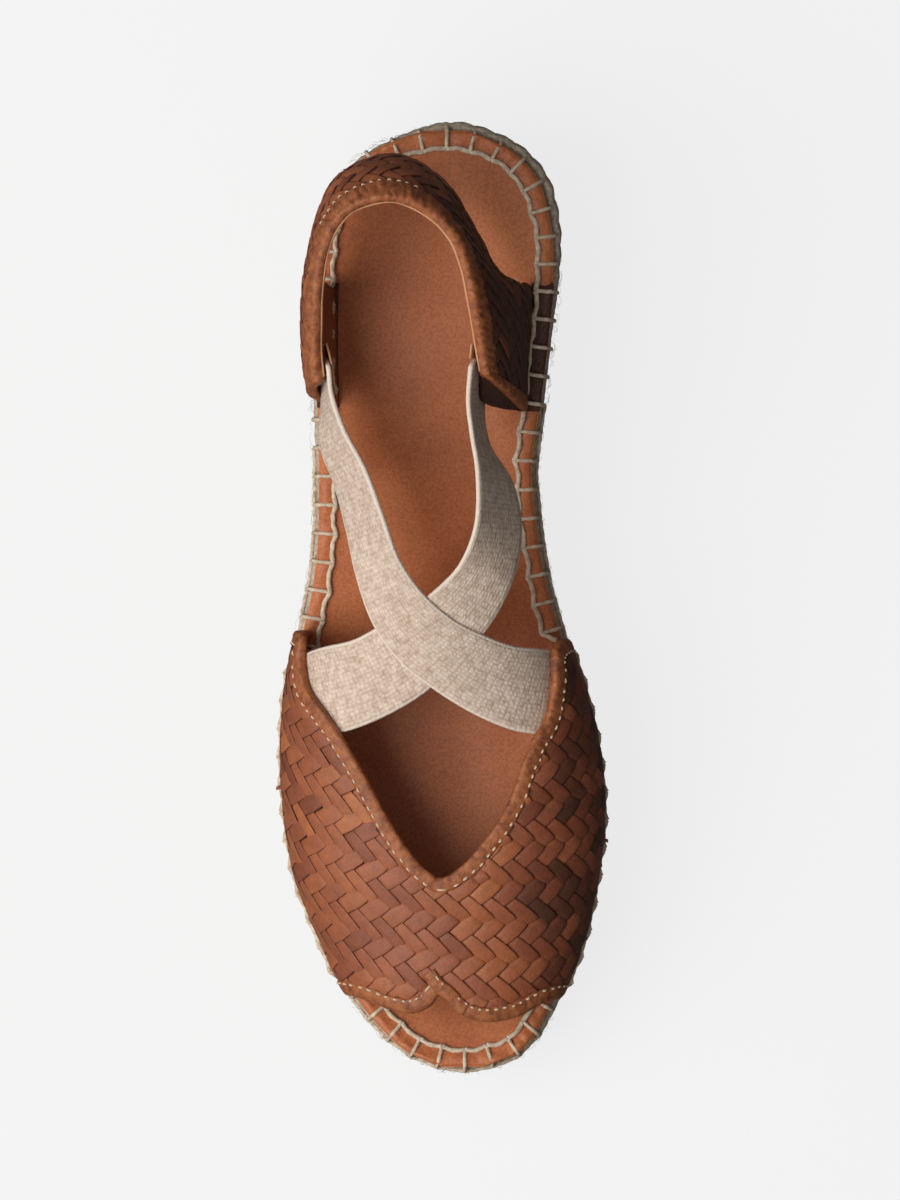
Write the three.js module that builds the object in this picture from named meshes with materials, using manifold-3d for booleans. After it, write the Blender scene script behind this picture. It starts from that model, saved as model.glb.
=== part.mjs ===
import * as THREE from 'three';
import Module from 'manifold-3d';
import { mergeVertices } from 'three/addons/utils/BufferGeometryUtils.js';

// Millimetres. Z is up, the toe points to -Y and the inner side of the right foot is +X.

// Sole
const forefootHeight = 20;
const heelHeight = 55;
const riseStart = -52;
const riseEnd = 84;
const springStart = -72;
const toeSpring = 6;
const toeTip = { x: 4.9, y: -125.4 };
const heelTip = { x: 1.6, y: 125.2 };
const outsoleThickness = 3;
const outsoleInset = 1.6;
const insoleThickness = 2.5;
const insoleInset = 1.7;
const gap = 0.3;
const ropeRows = 3;
const ropeRelief = 1.1;
const stations = 28;

// Outline of the rope sole from heel to toe
const soleRows = [
  { y: 121, lateral: -15.5, medial: 16 },
  { y: 117, lateral: -22, medial: 21.8 },
  { y: 111, lateral: -27.8, medial: 26.4 },
  { y: 104, lateral: -31.2, medial: 28.6 },
  { y: 96, lateral: -33, medial: 30 },
  { y: 84, lateral: -34, medial: 30.2 },
  { y: 68, lateral: -34.3, medial: 28.6 },
  { y: 51, lateral: -34, medial: 26.6 },
  { y: 35, lateral: -33.6, medial: 24.6 },
  { y: 15, lateral: -34, medial: 26.4 },
  { y: 2, lateral: -35.6, medial: 29 },
  { y: -10, lateral: -38.3, medial: 32.4 },
  { y: -26, lateral: -41, medial: 37.4 },
  { y: -42, lateral: -41.8, medial: 40.8 },
  { y: -59, lateral: -40.7, medial: 41.7 },
  { y: -75, lateral: -37.7, medial: 39.8 },
  { y: -91, lateral: -31.2, medial: 36.2 },
  { y: -100, lateral: -27.4, medial: 32.9 },
  { y: -108, lateral: -22.6, medial: 29.6 },
  { y: -116, lateral: -15.6, medial: 25.4 },
  { y: -121, lateral: -9.4, medial: 20.6 },
];

// Woven leather
const wall = 2;
const crossingAcross = 3.05;
const crossingAlong = 2.6;
const stripRelief = 0.55;

// Vamp, with the height of its inside over the insole
const vampBulge = 1.2;
const vampUndercut = THREE.MathUtils.degToRad(20);
const vampBack = -3.5;
const vampFront = -118;
const vampLean = 3;
const vampRows = [
  { y: 30, height: 42 },
  { y: 4, height: 41.5 },
  { y: -9, height: 40.8 },
  { y: -23, height: 39.5 },
  { y: -40, height: 37.5 },
  { y: -58, height: 34.5 },
  { y: -74, height: 31 },
  { y: -90, height: 26.5 },
  { y: -106, height: 21.5 },
  { y: -120, height: 17 },
];
const bindingWidth = 3.4;
const bindingRelief = 0.8;
const meshDetail = 0.08;

// Edge of the throat from the outer corner round the point to the inner corner
const throatRows = [
  { x: -52, y: -7.5 },
  { x: -38.6, y: -8.5 },
  { x: -38.2, y: -16 },
  { x: -36.6, y: -23.4 },
  { x: -33, y: -28.4 },
  { x: -28.4, y: -34.6 },
  { x: -22.6, y: -43.8 },
  { x: -16.6, y: -54.6 },
  { x: -12.4, y: -61.8 },
  { x: -8.2, y: -67.8 },
  { x: -4.4, y: -71.8 },
  { x: -0.4, y: -73.9 },
  { x: 3.7, y: -71.9 },
  { x: 7.8, y: -68.2 },
  { x: 12, y: -63 },
  { x: 16, y: -57.4 },
  { x: 19.2, y: -50.8 },
  { x: 21.6, y: -44 },
  { x: 24.9, y: -36.8 },
  { x: 28, y: -31.6 },
  { x: 30.2, y: -22 },
  { x: 31.6, y: -11.4 },
  { x: 46, y: -10.4 },
];

// Edge of the toe opening from the outer to the inner side
const toeRows = [
  { x: -40, y: -104.6 },
  { x: -23, y: -105.6 },
  { x: -14, y: -108.8 },
  { x: -8, y: -109.6 },
  { x: -3.4, y: -107.6 },
  { x: -0.8, y: -104.8 },
  { x: 2.6, y: -108 },
  { x: 6.8, y: -110.8 },
  { x: 12, y: -111.9 },
  { x: 20, y: -110.6 },
  { x: 29, y: -106.4 },
  { x: 44, y: -105.6 },
];

// Heel quarter, its outer face at the lower edge, half way and upper edge, and lifts over the insole
const quarterRows = [
  {
    lowX: -29.4, lowY: 52, lowLift: 0.3,
    midX: -35.2, midY: 54, midLift: 17,
    topX: -33.4, topY: 57, topLift: 33,
  },
  {
    lowX: -29.8, lowY: 62, lowLift: 0.3,
    midX: -36.4, midY: 63, midLift: 18,
    topX: -34, topY: 65, topLift: 35,
  },
  {
    lowX: -29.8, lowY: 73, lowLift: 0.3,
    midX: -36.8, midY: 74, midLift: 19,
    topX: -34, topY: 75, topLift: 37.5,
  },
  {
    lowX: -29.8, lowY: 82.6, lowLift: 0.3,
    midX: -36.2, midY: 84.4, midLift: 21,
    topX: -33.4, topY: 85, topLift: 40,
  },
  {
    lowX: -32.2, lowY: 86.4, lowLift: 11.5,
    midX: -35.4, midY: 90.4, midLift: 25,
    topX: -32.4, topY: 91, topLift: 41.5,
  },
  {
    lowX: -32.8, lowY: 99, lowLift: 15,
    midX: -32.8, midY: 100, midLift: 29,
    topX: -29.8, topY: 98, topLift: 44,
  },
  {
    lowX: -27.4, lowY: 111.4, lowLift: 17.6,
    midX: -27, midY: 110, midLift: 32.4,
    topX: -24.2, topY: 103.6, topLift: 46.4,
  },
  {
    lowX: -12.6, lowY: 117.2, lowLift: 19,
    midX: -13, midY: 115, midLift: 34,
    topX: -13.2, topY: 106.2, topLift: 48,
  },
  {
    lowX: 0.2, lowY: 110.6, lowLift: 17.6,
    midX: -0.8, midY: 108.4, midLift: 32.4,
    topX: -3, topY: 102.4, topLift: 46.4,
  },
  {
    lowX: 8.4, lowY: 98.2, lowLift: 15,
    midX: 6.6, midY: 97.6, midLift: 29,
    topX: 4.2, topY: 95.2, topLift: 44,
  },
  {
    lowX: 15.6, lowY: 85.6, lowLift: 11.5,
    midX: 12.4, midY: 87.4, midLift: 25,
    topX: 7.2, topY: 87, topLift: 41.5,
  },
  {
    lowX: 23.6, lowY: 82.6, lowLift: 0.3,
    midX: 17.2, midY: 81.4, midLift: 21,
    topX: 8.4, topY: 80.6, topLift: 40,
  },
  {
    lowX: 23.2, lowY: 73, lowLift: 0.3,
    midX: 19, midY: 73, midLift: 19,
    topX: 9.6, topY: 73, topLift: 37.5,
  },
  {
    lowX: 22.6, lowY: 62, lowLift: 0.3,
    midX: 19.2, midY: 63, midLift: 18,
    topX: 10.8, topY: 66, topLift: 35,
  },
  {
    lowX: 22.2, lowY: 50, lowLift: 0.3,
    midX: 19.4, midY: 53, midLift: 17,
    topX: 12, topY: 59, topLift: 33,
  },
];
const quarterColumns = 52;
const quarterLevels = 12;
const flangeWidth = 5.4;
const flangeThickness = 1.6;

// Elastic bands, with the two edges of each seen from above and the height of their middle
const bandWidth = 22;
const bandThickness = 1.2;
const outerBandRows = [
  { lowX: -31.8, lowY: 70, highX: -30.2, highY: 70, z: 76 },
  { lowX: -31.6, lowY: 61, highX: -30, highY: 61.4, z: 75 },
  { lowX: -31.7, lowY: 52, highX: -29.2, highY: 54.4, z: 74.2 },
  { lowX: -32.2, lowY: 41.6, highX: -26, highY: 45, z: 73.4 },
  { lowX: -28.2, lowY: 30.4, highX: -20.4, highY: 34.4, z: 72.6 },
  { lowX: -25, lowY: 18, highX: -15.6, highY: 21.6, z: 71.8 },
  { lowX: -22.4, lowY: 5.8, highX: -11.4, highY: 10.4, z: 71 },
  { lowX: -18, lowY: -6.6, highX: -4.6, highY: 0.8, z: 70 },
  { lowX: -10.6, lowY: -16.8, highX: 3.6, highY: -6, z: 68.6 },
  { lowX: -1.6, lowY: -23.8, highX: 11.4, highY: -9.8, z: 66 },
  { lowX: 8.6, lowY: -30, highX: 18.4, highY: -12.4, z: 61.6 },
  { lowX: 18, lowY: -34, highX: 25, highY: -13.2, z: 56.4 },
  { lowX: 26, lowY: -35.4, highX: 29.4, highY: -13.8, z: 49 },
  { lowX: 30.8, lowY: -35.8, highX: 31.8, highY: -14.4, z: 41 },
];
const innerBandRows = [
  { lowX: 15, lowY: 70, highX: 6.8, highY: 70, z: 77 },
  { lowX: 14, lowY: 62, highX: 7.4, highY: 61.6, z: 76 },
  { lowX: 10.8, lowY: 52, highX: 6.8, highY: 52, z: 75 },
  { lowX: 12.2, lowY: 41, highX: 7.8, highY: 43.4, z: 74 },
  { lowX: 18.2, lowY: 31, highX: 9.2, highY: 33.6, z: 73 },
  { lowX: 20.6, lowY: 18.8, highX: 8.8, highY: 19.8, z: 72 },
  { lowX: 19, lowY: 7.4, highX: 4.8, highY: 9.6, z: 71 },
  { lowX: 13.6, lowY: -4.6, highX: -0.8, highY: 3.4, z: 69.4 },
  { lowX: 4.6, lowY: -15.6, highX: -7.6, highY: -1.8, z: 67.4 },
  { lowX: -5, lowY: -24.4, highX: -15.4, highY: -6.4, z: 64.6 },
  { lowX: -15, lowY: -30.4, highX: -23, highY: -10.6, z: 60 },
  { lowX: -25, lowY: -34.4, highX: -31, highY: -12.6, z: 52.6 },
  { lowX: -31, lowY: -35, highX: -34.2, highY: -13.6, z: 45 },
  { lowX: -34.4, lowY: -35.4, highX: -36, highY: -14.4, z: 37.5 },
];
const bandSteps = 36;

const wasm = await Module();
wasm.setup();

// Value of one column of a table at y, eased between the rows
function tableValue(rows, key, y) {
  const sorted = rows[0].y > rows[rows.length - 1].y ? [...rows].reverse() : rows;
  const last = sorted.length - 1;
  if (y <= sorted[0].y) return sorted[0][key];
  if (y >= sorted[last].y) return sorted[last][key];
  const i = sorted.findIndex((row, k) => k < last && y < sorted[k + 1].y);
  const [a, b] = [sorted[i], sorted[i + 1]];
  const before = sorted[Math.max(i - 1, 0)];
  const after = sorted[Math.min(i + 2, last)];
  const span = b.y - a.y;
  const slopeA = ((b[key] - before[key]) / (b.y - before.y)) * span;
  const slopeB = ((after[key] - a[key]) / (after.y - a.y)) * span;
  const t = (y - a.y) / span;
  const t2 = t * t;
  const t3 = t2 * t;
  return (2 * t3 - 3 * t2 + 1) * a[key] + (t3 - 2 * t2 + t) * slopeA
    + (3 * t2 - 2 * t3) * b[key] + (t3 - t2) * slopeB;
}

function groundHeight(y) {
  const t = Math.max(0, (springStart - y) / (springStart - toeTip.y));
  return toeSpring * t * t;
}

function footbedHeight(y) {
  const t = THREE.MathUtils.smoothstep(y, riseStart, riseEnd);
  return forefootHeight + (heelHeight - forefootHeight) * t + groundHeight(y);
}

// Closed solid with its faces turned outward
function solidFrom(vertices, triangles) {
  const geometry = new THREE.BufferGeometry();
  const places = vertices.flatMap((v) => [v.x, v.y, v.z]);
  geometry.setAttribute('position', new THREE.Float32BufferAttribute(places, 3));
  geometry.setIndex(triangles.flat());
  const merged = mergeVertices(geometry, 1e-4);
  const index = merged.index.array;
  const facing = [[], []];
  for (let i = 0; i < index.length; i += 3) {
    const [a, b, c] = [index[i], index[i + 1], index[i + 2]];
    if (a === b || b === c || c === a) continue;
    facing[0].push(a, b, c);
    facing[1].push(a, c, b);
  }
  const [solid, turnedOver] = facing.map((corners) => new wasm.Manifold(new wasm.Mesh({
    numProp: 3,
    vertProperties: new Float32Array(merged.attributes.position.array),
    triVerts: new Uint32Array(corners),
  })));
  return solid.volume() > 0 ? solid : turnedOver;
}

// Closed solid through rings of equal count, each end closed by a ladder from point i to its partner
function loft(rings, splitSide = () => true) {
  const count = rings[0].length;
  const half = count / 2;
  const vertices = rings.flat();
  const triangles = [];
  for (let r = 0; r < rings.length - 1; r += 1) {
    for (let i = 0; i < count; i += 1) {
      const next = (i + 1) % count;
      const [a, b, c, d] = [r * count + i, r * count + next, (r + 1) * count + next, (r + 1) * count + i];
      if (splitSide(r, i)) triangles.push([a, b, c], [a, c, d]);
      else triangles.push([a, b, d], [b, c, d]);
    }
  }
  const top = (rings.length - 1) * count;
  for (let i = 0; i < half - 1; i += 1) {
    const [a, b, c, d] = [i, i + 1, count - 2 - i, count - 1 - i];
    triangles.push([a, c, b], [a, d, c]);
    triangles.push([top + a, top + b, top + c], [top + a, top + c, top + d]);
  }
  return solidFrom(vertices, triangles);
}

// Sheet of quads given a thickness: outer and inner grids of points, rows by columns
function sheetSolid(outer, inner, splitOuter) {
  const rows = outer.length;
  const columns = outer[0].length;
  const vertices = [...outer.flat(), ...inner.flat()];
  const base = rows * columns;
  const at = (r, c) => r * columns + c;
  const triangles = [];
  for (let r = 0; r < rows - 1; r += 1) {
    for (let c = 0; c < columns - 1; c += 1) {
      const [a, b, d, e] = [at(r, c), at(r, c + 1), at(r + 1, c + 1), at(r + 1, c)];
      if (splitOuter(r, c)) triangles.push([a, b, d], [a, d, e]);
      else triangles.push([a, b, e], [b, d, e]);
      triangles.push([base + a, base + d, base + b], [base + a, base + e, base + d]);
    }
  }
  const edge = [];
  for (let c = 0; c < columns - 1; c += 1) edge.push(at(0, c));
  for (let r = 0; r < rows - 1; r += 1) edge.push(at(r, columns - 1));
  for (let c = columns - 1; c > 0; c -= 1) edge.push(at(rows - 1, c));
  for (let r = rows - 1; r > 0; r -= 1) edge.push(at(r, 0));
  edge.forEach((a, i) => {
    const b = edge[(i + 1) % edge.length];
    triangles.push([b, a, base + a], [b, base + a, base + b]);
  });
  return solidFrom(vertices, triangles);
}

// Upright prism over a plan outline
function prism(points, low, high) {
  const shape = new THREE.Shape(points.map((p) => new THREE.Vector2(p.x, p.y)));
  const geometry = new THREE.ExtrudeGeometry(shape, { depth: high - low, bevelEnabled: false, steps: 1 });
  const position = geometry.attributes.position;
  const vertices = [];
  const triangles = [];
  for (let i = 0; i < position.count; i += 1) {
    vertices.push(new THREE.Vector3().fromBufferAttribute(position, i).setZ(position.getZ(i) + low));
    if (i % 3 === 0) triangles.push([i, i + 1, i + 2]);
  }
  return solidFrom(vertices, triangles);
}

// Sole outline, heel tip first, down the outer side to the toe tip and back up the inner side
const outlineCurve = new THREE.CatmullRomCurve3([
  new THREE.Vector3(heelTip.x, heelTip.y, 0),
  ...soleRows.map((row) => new THREE.Vector3(row.lateral, row.y, 0)),
  new THREE.Vector3(toeTip.x, toeTip.y, 0),
  ...[...soleRows].reverse().map((row) => new THREE.Vector3(row.medial, row.y, 0)),
], true, 'centripetal');
const outlineDense = outlineCurve.getSpacedPoints(900).slice(0, -1);
const toeIndex = outlineDense.reduce((best, p, i) => (p.y < outlineDense[best].y ? i : best), 0);
const heelIndex = outlineDense.reduce((best, p, i) => (p.y > outlineDense[best].y ? i : best), 0);
const turned = [...outlineDense.slice(heelIndex), ...outlineDense.slice(0, heelIndex)];
const toePlace = (toeIndex - heelIndex + outlineDense.length) % outlineDense.length;
const lateralSide = turned.slice(0, toePlace + 1);
const medialSide = [turned[0], ...turned.slice(toePlace).reverse()];

function sideAt(side, y) {
  const clamped = THREE.MathUtils.clamp(y, side[side.length - 1].y, side[0].y);
  let low = 0;
  let high = side.length - 1;
  while (high - low > 1) {
    const middle = (low + high) >> 1;
    if (side[middle].y >= clamped) low = middle;
    else high = middle;
  }
  const t = (side[low].y - clamped) / Math.max(side[low].y - side[high].y, 1e-9);
  return side[low].x + (side[high].x - side[low].x) * t;
}

// Points round the sole with an inset, paired across it
function outlineRing(inset, heightAt) {
  const middle = (lateralSide[0].y + lateralSide[lateralSide.length - 1].y) / 2;
  const reach = (lateralSide[0].y - lateralSide[lateralSide.length - 1].y) / 2;
  const points = [];
  for (let i = 0; i < 2 * stations; i += 1) {
    const y = middle + reach * Math.cos((Math.PI * (i + 0.5)) / stations);
    const side = i < stations ? lateralSide : medialSide;
    points.push(new THREE.Vector3(sideAt(side, y), y, 0));
  }
  return points.map((p, i) => {
    const before = points[(i - 1 + points.length) % points.length];
    const after = points[(i + 1) % points.length];
    const along = after.clone().sub(before).normalize();
    const x = p.x - along.y * inset;
    const y = p.y + along.x * inset;
    return new THREE.Vector3(x, y, heightAt(y));
  });
}

const insoleBase = (y) => footbedHeight(y) - insoleThickness;
const ropeTop = (y) => insoleBase(y) - gap;
const ropePitch = (forefootHeight - insoleThickness - outsoleThickness - 2 * gap) / ropeRows;
const platformBase = (y) => ropeTop(y) - ropeRows * ropePitch;

// Rope rows seen from the side as a stack of rounded steps
function ropeLevels(count, heightAt) {
  const rings = [];
  const steps = [
    { at: 0, inset: ropeRelief },
    { at: 0.26, inset: 0.1 },
    { at: 0.74, inset: 0.1 },
  ];
  for (let row = 0; row < count; row += 1) {
    for (const step of steps) {
      rings.push(outlineRing(step.inset, heightAt((row + step.at) * ropePitch)));
    }
  }
  return rings;
}

// Rubber outsole
const outsole = loft([
  outlineRing(outsoleInset + 0.8, (y) => groundHeight(y)),
  outlineRing(outsoleInset, (y) => groundHeight(y) + 0.8),
  outlineRing(outsoleInset, (y) => groundHeight(y) + outsoleThickness),
]);

// Jute sole: a platform of rope rows that follows the insole, on a wedge of level rows
const platform = loft([
  ...ropeLevels(ropeRows, (rise) => (y) => platformBase(y) + rise),
  outlineRing(ropeRelief, (y) => ropeTop(y)),
]);
const wedgeBase = outsoleThickness + gap;
const wedgeRows = Math.ceil((heelHeight - forefootHeight) / ropePitch);
const wedgeStack = loft([
  ...ropeLevels(wedgeRows, (rise) => () => wedgeBase + rise),
  outlineRing(ropeRelief, () => wedgeBase + wedgeRows * ropePitch),
]);
const wedgeFront = riseStart + 12;
const wedgeEnd = heelTip.y + 10;
const wedgeProfile = [{ x: wedgeEnd, y: 0 }];
for (let y = wedgeEnd; y > wedgeFront; y -= 5) {
  wedgeProfile.push({ x: y, y: platformBase(y) + 0.9 });
}
wedgeProfile.push({ x: wedgeFront, y: platformBase(wedgeFront) + 0.9 }, { x: wedgeFront, y: 0 });
const wedgeBlock = prism(wedgeProfile, -60, 60).rotate([90, 0, 90]);
const juteWedge = platform.add(wedgeStack.intersect(wedgeBlock));

// Leather insole
const insole = loft([
  outlineRing(insoleInset + 0.5, (y) => insoleBase(y)),
  outlineRing(insoleInset, (y) => insoleBase(y) + 0.6),
  outlineRing(insoleInset, (y) => footbedHeight(y) - 0.6),
  outlineRing(insoleInset + 0.7, (y) => footbedHeight(y)),
]);

// Outer face of the vamp across the foot at y, as points with their distance from the crest
const sectionSteps = 72;
function vampSection(y, offset) {
  const left = sideAt(lateralSide, y) - vampBulge;
  const right = sideAt(medialSide, y) + vampBulge;
  const centre = (left + right) / 2;
  const halfWidth = (right - left) / 2;
  const height = tableValue(vampRows, 'height', y) + wall;
  const base = footbedHeight(y) + gap;
  const low = Math.sin(vampUndercut);
  const points = [];
  for (let i = 0; i <= sectionSteps; i += 1) {
    const angle = -vampUndercut + ((Math.PI + 2 * vampUndercut) * i) / sectionSteps;
    const upper = Math.max(Math.sin(angle), 0);
    const x = centre - halfWidth * Math.cos(angle) + vampLean * upper * upper;
    const z = base + (height * (Math.sin(angle) + low)) / (1 + low);
    points.push({ x, z });
  }
  const moved = points.map((p, i) => {
    const before = points[Math.max(i - 1, 0)];
    const after = points[Math.min(i + 1, sectionSteps)];
    const length = Math.hypot(after.x - before.x, after.z - before.z);
    const nx = -(after.z - before.z) / length;
    const nz = (after.x - before.x) / length;
    return new THREE.Vector3(p.x + nx * offset, y, Math.max(p.z + nz * offset, base));
  });
  const crest = sectionSteps / 2;
  const distances = new Array(sectionSteps + 1).fill(0);
  for (let i = 1; i <= crest; i += 1) {
    for (const way of [-1, 1]) {
      const [here, from] = [points[crest + way * i], points[crest + way * (i - 1)]];
      const step = Math.hypot(here.x - from.x, here.z - from.z);
      distances[crest + way * i] = distances[crest + way * (i - 1)] + way * step;
    }
  }
  return { moved, distances };
}

function vampPoint(section, distance) {
  const { moved, distances } = section;
  const last = distances.length - 1;
  if (distance <= distances[0]) return moved[0].clone();
  if (distance >= distances[last]) return moved[last].clone();
  const i = distances.findIndex((d, k) => k < last && distance < distances[k + 1]);
  const t = (distance - distances[i]) / (distances[i + 1] - distances[i]);
  return moved[i].clone().lerp(moved[i + 1], t);
}

// Height of a vamp surface over a place in plan
function vampHeight(x, y, offset) {
  const { moved } = vampSection(y, offset);
  const from = Math.round(sectionSteps * 0.1);
  const to = sectionSteps - from;
  if (x <= moved[from].x) return moved[from].z;
  if (x >= moved[to].x) return moved[to].z;
  const i = moved.findIndex((p, k) => k >= from && x < moved[k + 1].x);
  const t = (x - moved[i].x) / (moved[i + 1].x - moved[i].x);
  return THREE.MathUtils.lerp(moved[i].z, moved[i + 1].z, t);
}

// Two over two twill of strips at 45 degrees: the strip that is on top at a crossing of the half grid
function upperStrip(row, column) {
  const first = (row + column) / 2;
  const second = (row - column) / 2;
  return (((first + second) % 4) + 4) % 4 < 2 ? 'falling' : 'rising';
}

// A quad keeps the ridge of a float where both of its crossings belong to it, and a groove elsewhere
function weaveSplit(row, column) {
  const falling = (row + column) % 2 === 0;
  const here = falling ? upperStrip(row, column) : upperStrip(row, column + 1);
  const there = falling ? upperStrip(row + 1, column + 1) : upperStrip(row + 1, column);
  const ridge = here === there && here === (falling ? 'falling' : 'rising');
  return ridge === falling;
}

const weaveRise = (row, column) => ((row + column) % 2 === 0 ? stripRelief : -0.1);

// Form under a surface of the vamp, plain or with its strips raised
function vampForm({ offset, step, rowStep, back, front, drop, woven }) {
  const reach = Math.ceil(76 / step);
  const rings = [];
  const rows = Math.ceil((back - front) / rowStep);
  for (let r = 0; r <= rows; r += 1) {
    const y = back - r * rowStep;
    const plain = vampSection(y, offset);
    const raised = vampSection(y, offset + stripRelief);
    const sunk = vampSection(y, offset - 0.1);
    const ring = [];
    for (let c = -reach; c <= reach + 1; c += 1) {
      const distance = Math.min(c, reach) * step;
      const inner = Math.abs(distance) < Math.abs(plain.distances[c < 0 ? 0 : sectionSteps]) - 1.2;
      const strips = weaveRise(r, c + reach) > 0 ? raised : sunk;
      ring.push(vampPoint(woven && inner ? strips : plain, distance));
    }
    if (drop > 0) {
      ring[0].z -= drop;
      ring[ring.length - 1].z -= drop;
    }
    rings.push(ring);
  }
  return loft(rings, woven ? (r, c) => weaveSplit(r, c) : undefined);
}

function smoothPlan(rows, count, shift = 0) {
  const places = rows.map((p) => new THREE.Vector3(p.x, p.y, 0));
  const curve = new THREE.CatmullRomCurve3(places, false, 'centripetal');
  return curve.getSpacedPoints(count).map((p, i) => {
    const along = curve.getTangentAt(i / count);
    return { x: p.x + along.y * shift, y: p.y - along.x * shift };
  });
}

const throatBox = [{ x: 60, y: 40 }, { x: -60, y: 40 }];
const toeBox = [{ x: 60, y: -160 }, { x: -60, y: -160 }];
const throatCut = (shift) => prism([...smoothPlan(throatRows, 60, shift), ...throatBox].reverse(), 0, 120);
const toeCut = (shift) => prism([...smoothPlan(toeRows, 40, shift), ...toeBox], 0, 120);

const wovenForm = vampForm({
  offset: 0,
  step: crossingAcross,
  rowStep: crossingAlong,
  back: vampBack,
  front: vampFront,
  drop: 0,
  woven: true,
});
const boundForm = vampForm({
  offset: bindingRelief,
  step: 4,
  rowStep: 4,
  back: vampBack,
  front: vampFront,
  drop: 0,
});
const insideForm = vampForm({
  offset: -wall,
  step: 6,
  rowStep: 6,
  back: vampBack + 6,
  front: vampFront - 5,
  drop: 1,
});
const bindings = boundForm.intersect(throatCut(bindingWidth).add(toeCut(-bindingWidth)));
const vamp = wovenForm.add(bindings).subtract(insideForm).subtract(throatCut(0)).subtract(toeCut(0));

// Heel quarter
const quarterCurve = (place) => new THREE.CatmullRomCurve3(quarterRows.map((row) => new THREE.Vector3(
  row[`${place}X`],
  row[`${place}Y`],
  footbedHeight(row[`${place}Y`]) + row[`${place}Lift`],
)), false, 'centripetal');
const [quarterLow, quarterMid, quarterTop] = ['low', 'mid', 'top'].map(quarterCurve);

function quarterSurface(u, h) {
  const t = quarterMid.getUtoTmapping(THREE.MathUtils.clamp(u, 0, 1));
  return new THREE.Vector3()
    .addScaledVector(quarterLow.getPoint(t), 2 * h * h - 3 * h + 1)
    .addScaledVector(quarterMid.getPoint(t), 4 * h - 4 * h * h)
    .addScaledVector(quarterTop.getPoint(t), 2 * h * h - h);
}

function quarterPoint(u, h, offset) {
  const along = quarterSurface(u + 0.004, h).sub(quarterSurface(u - 0.004, h));
  const up = quarterSurface(u, h + 0.02).sub(quarterSurface(u, h - 0.02));
  const p = quarterSurface(u, h).addScaledVector(along.cross(up).normalize(), -offset);
  p.z = Math.max(p.z, footbedHeight(p.y) + gap);
  return p;
}

function quarterGrid(offsetAt) {
  const grid = [];
  for (let r = 0; r <= quarterLevels; r += 1) {
    const line = [];
    for (let c = 0; c <= quarterColumns; c += 1) {
      line.push(quarterPoint(c / quarterColumns, r / quarterLevels, offsetAt(r, c)));
    }
    grid.push(line);
  }
  return grid;
}

function quarterOffset(row, column) {
  const edge = row === 0 || row >= quarterLevels - 1;
  return edge ? bindingRelief : weaveRise(row, column);
}

const quarterBand = sheetSolid(
  quarterGrid(quarterOffset),
  quarterGrid(() => -wall),
  weaveSplit,
);

// Seat of the quarter on the insole's margin
function flange(side, out, fromY, toY) {
  const [low, high] = [[], []];
  for (let y = fromY; y <= toY + 0.01; y += (toY - fromY) / 8) {
    const edge = sideAt(side, y) - out * (insoleInset + 0.6);
    const line = [edge, edge - out * flangeWidth];
    const base = footbedHeight(y) + gap;
    low.push(line.map((x) => new THREE.Vector3(x, y, base)));
    high.push(line.map((x) => new THREE.Vector3(x, y, base + flangeThickness)));
  }
  return out > 0 ? sheetSolid(low, high, () => true) : sheetSolid(high, low, () => true);
}

const heelQuarter = quarterBand
  .add(flange(lateralSide, -1, 51, 83))
  .add(flange(medialSide, 1, 50, 83));

// Crossed elastic bands
const crossing = { x: -2.5, y: -12 };
function bandCurves(rows) {
  return ['low', 'high'].map((edge) => new THREE.CatmullRomCurve3(rows.map((row) => {
    const plan = Math.hypot(row.highX - row.lowX, row.highY - row.lowY);
    const rise = Math.sqrt(Math.max(bandWidth * bandWidth - plan * plan, 0)) / 2;
    return new THREE.Vector3(row[`${edge}X`], row[`${edge}Y`], row.z + (edge === 'low' ? -rise : rise));
  }), false, 'centripetal'));
}

function band(rows, beneath) {
  const [low, high] = bandCurves(rows);
  const across = 3;
  const middle = [];
  for (let i = 0; i <= bandSteps; i += 1) {
    const line = [];
    for (let k = 0; k <= across; k += 1) {
      const p = low.getPoint(i / bandSteps).lerp(high.getPoint(i / bandSteps), k / across);
      const away = Math.hypot(p.x - crossing.x, p.y - crossing.y);
      const sink = beneath * (1 - THREE.MathUtils.smoothstep(away, 17, 27));
      const dome = vampHeight(p.x, p.y, -wall - gap - bandThickness / 2 - 0.2) - sink;
      p.z = THREE.MathUtils.lerp(dome, p.z, THREE.MathUtils.smoothstep(p.y, 2, 24));
      line.push(p);
    }
    middle.push(line);
  }
  const face = (side) => middle.map((line, i) => line.map((p, k) => {
    const along = middle[Math.min(i + 1, bandSteps)][k].clone().sub(middle[Math.max(i - 1, 0)][k]);
    const over = line[Math.min(k + 1, across)].clone().sub(line[Math.max(k - 1, 0)]);
    return p.clone().addScaledVector(along.cross(over).normalize(), (side * bandThickness) / 2);
  }));
  return sheetSolid(face(1), face(-1), () => true);
}

const crossStraps = band(outerBandRows, 0).add(band(innerBandRows, bandThickness - 0.2));

function material(name, color, roughness) {
  return new THREE.MeshStandardMaterial({ name, color, roughness, metalness: 0 });
}

const rubber = material('rubber', '#8a6f52', 0.85);
const jute = material('jute', '#b8a78f', 0.95);
const insoleLeather = material('insole_leather', '#8e5138', 0.6);
const wovenLeather = material('woven_leather', '#7c4630', 0.55);
const linenElastic = material('linen_elastic', '#c3b09d', 0.9);

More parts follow.
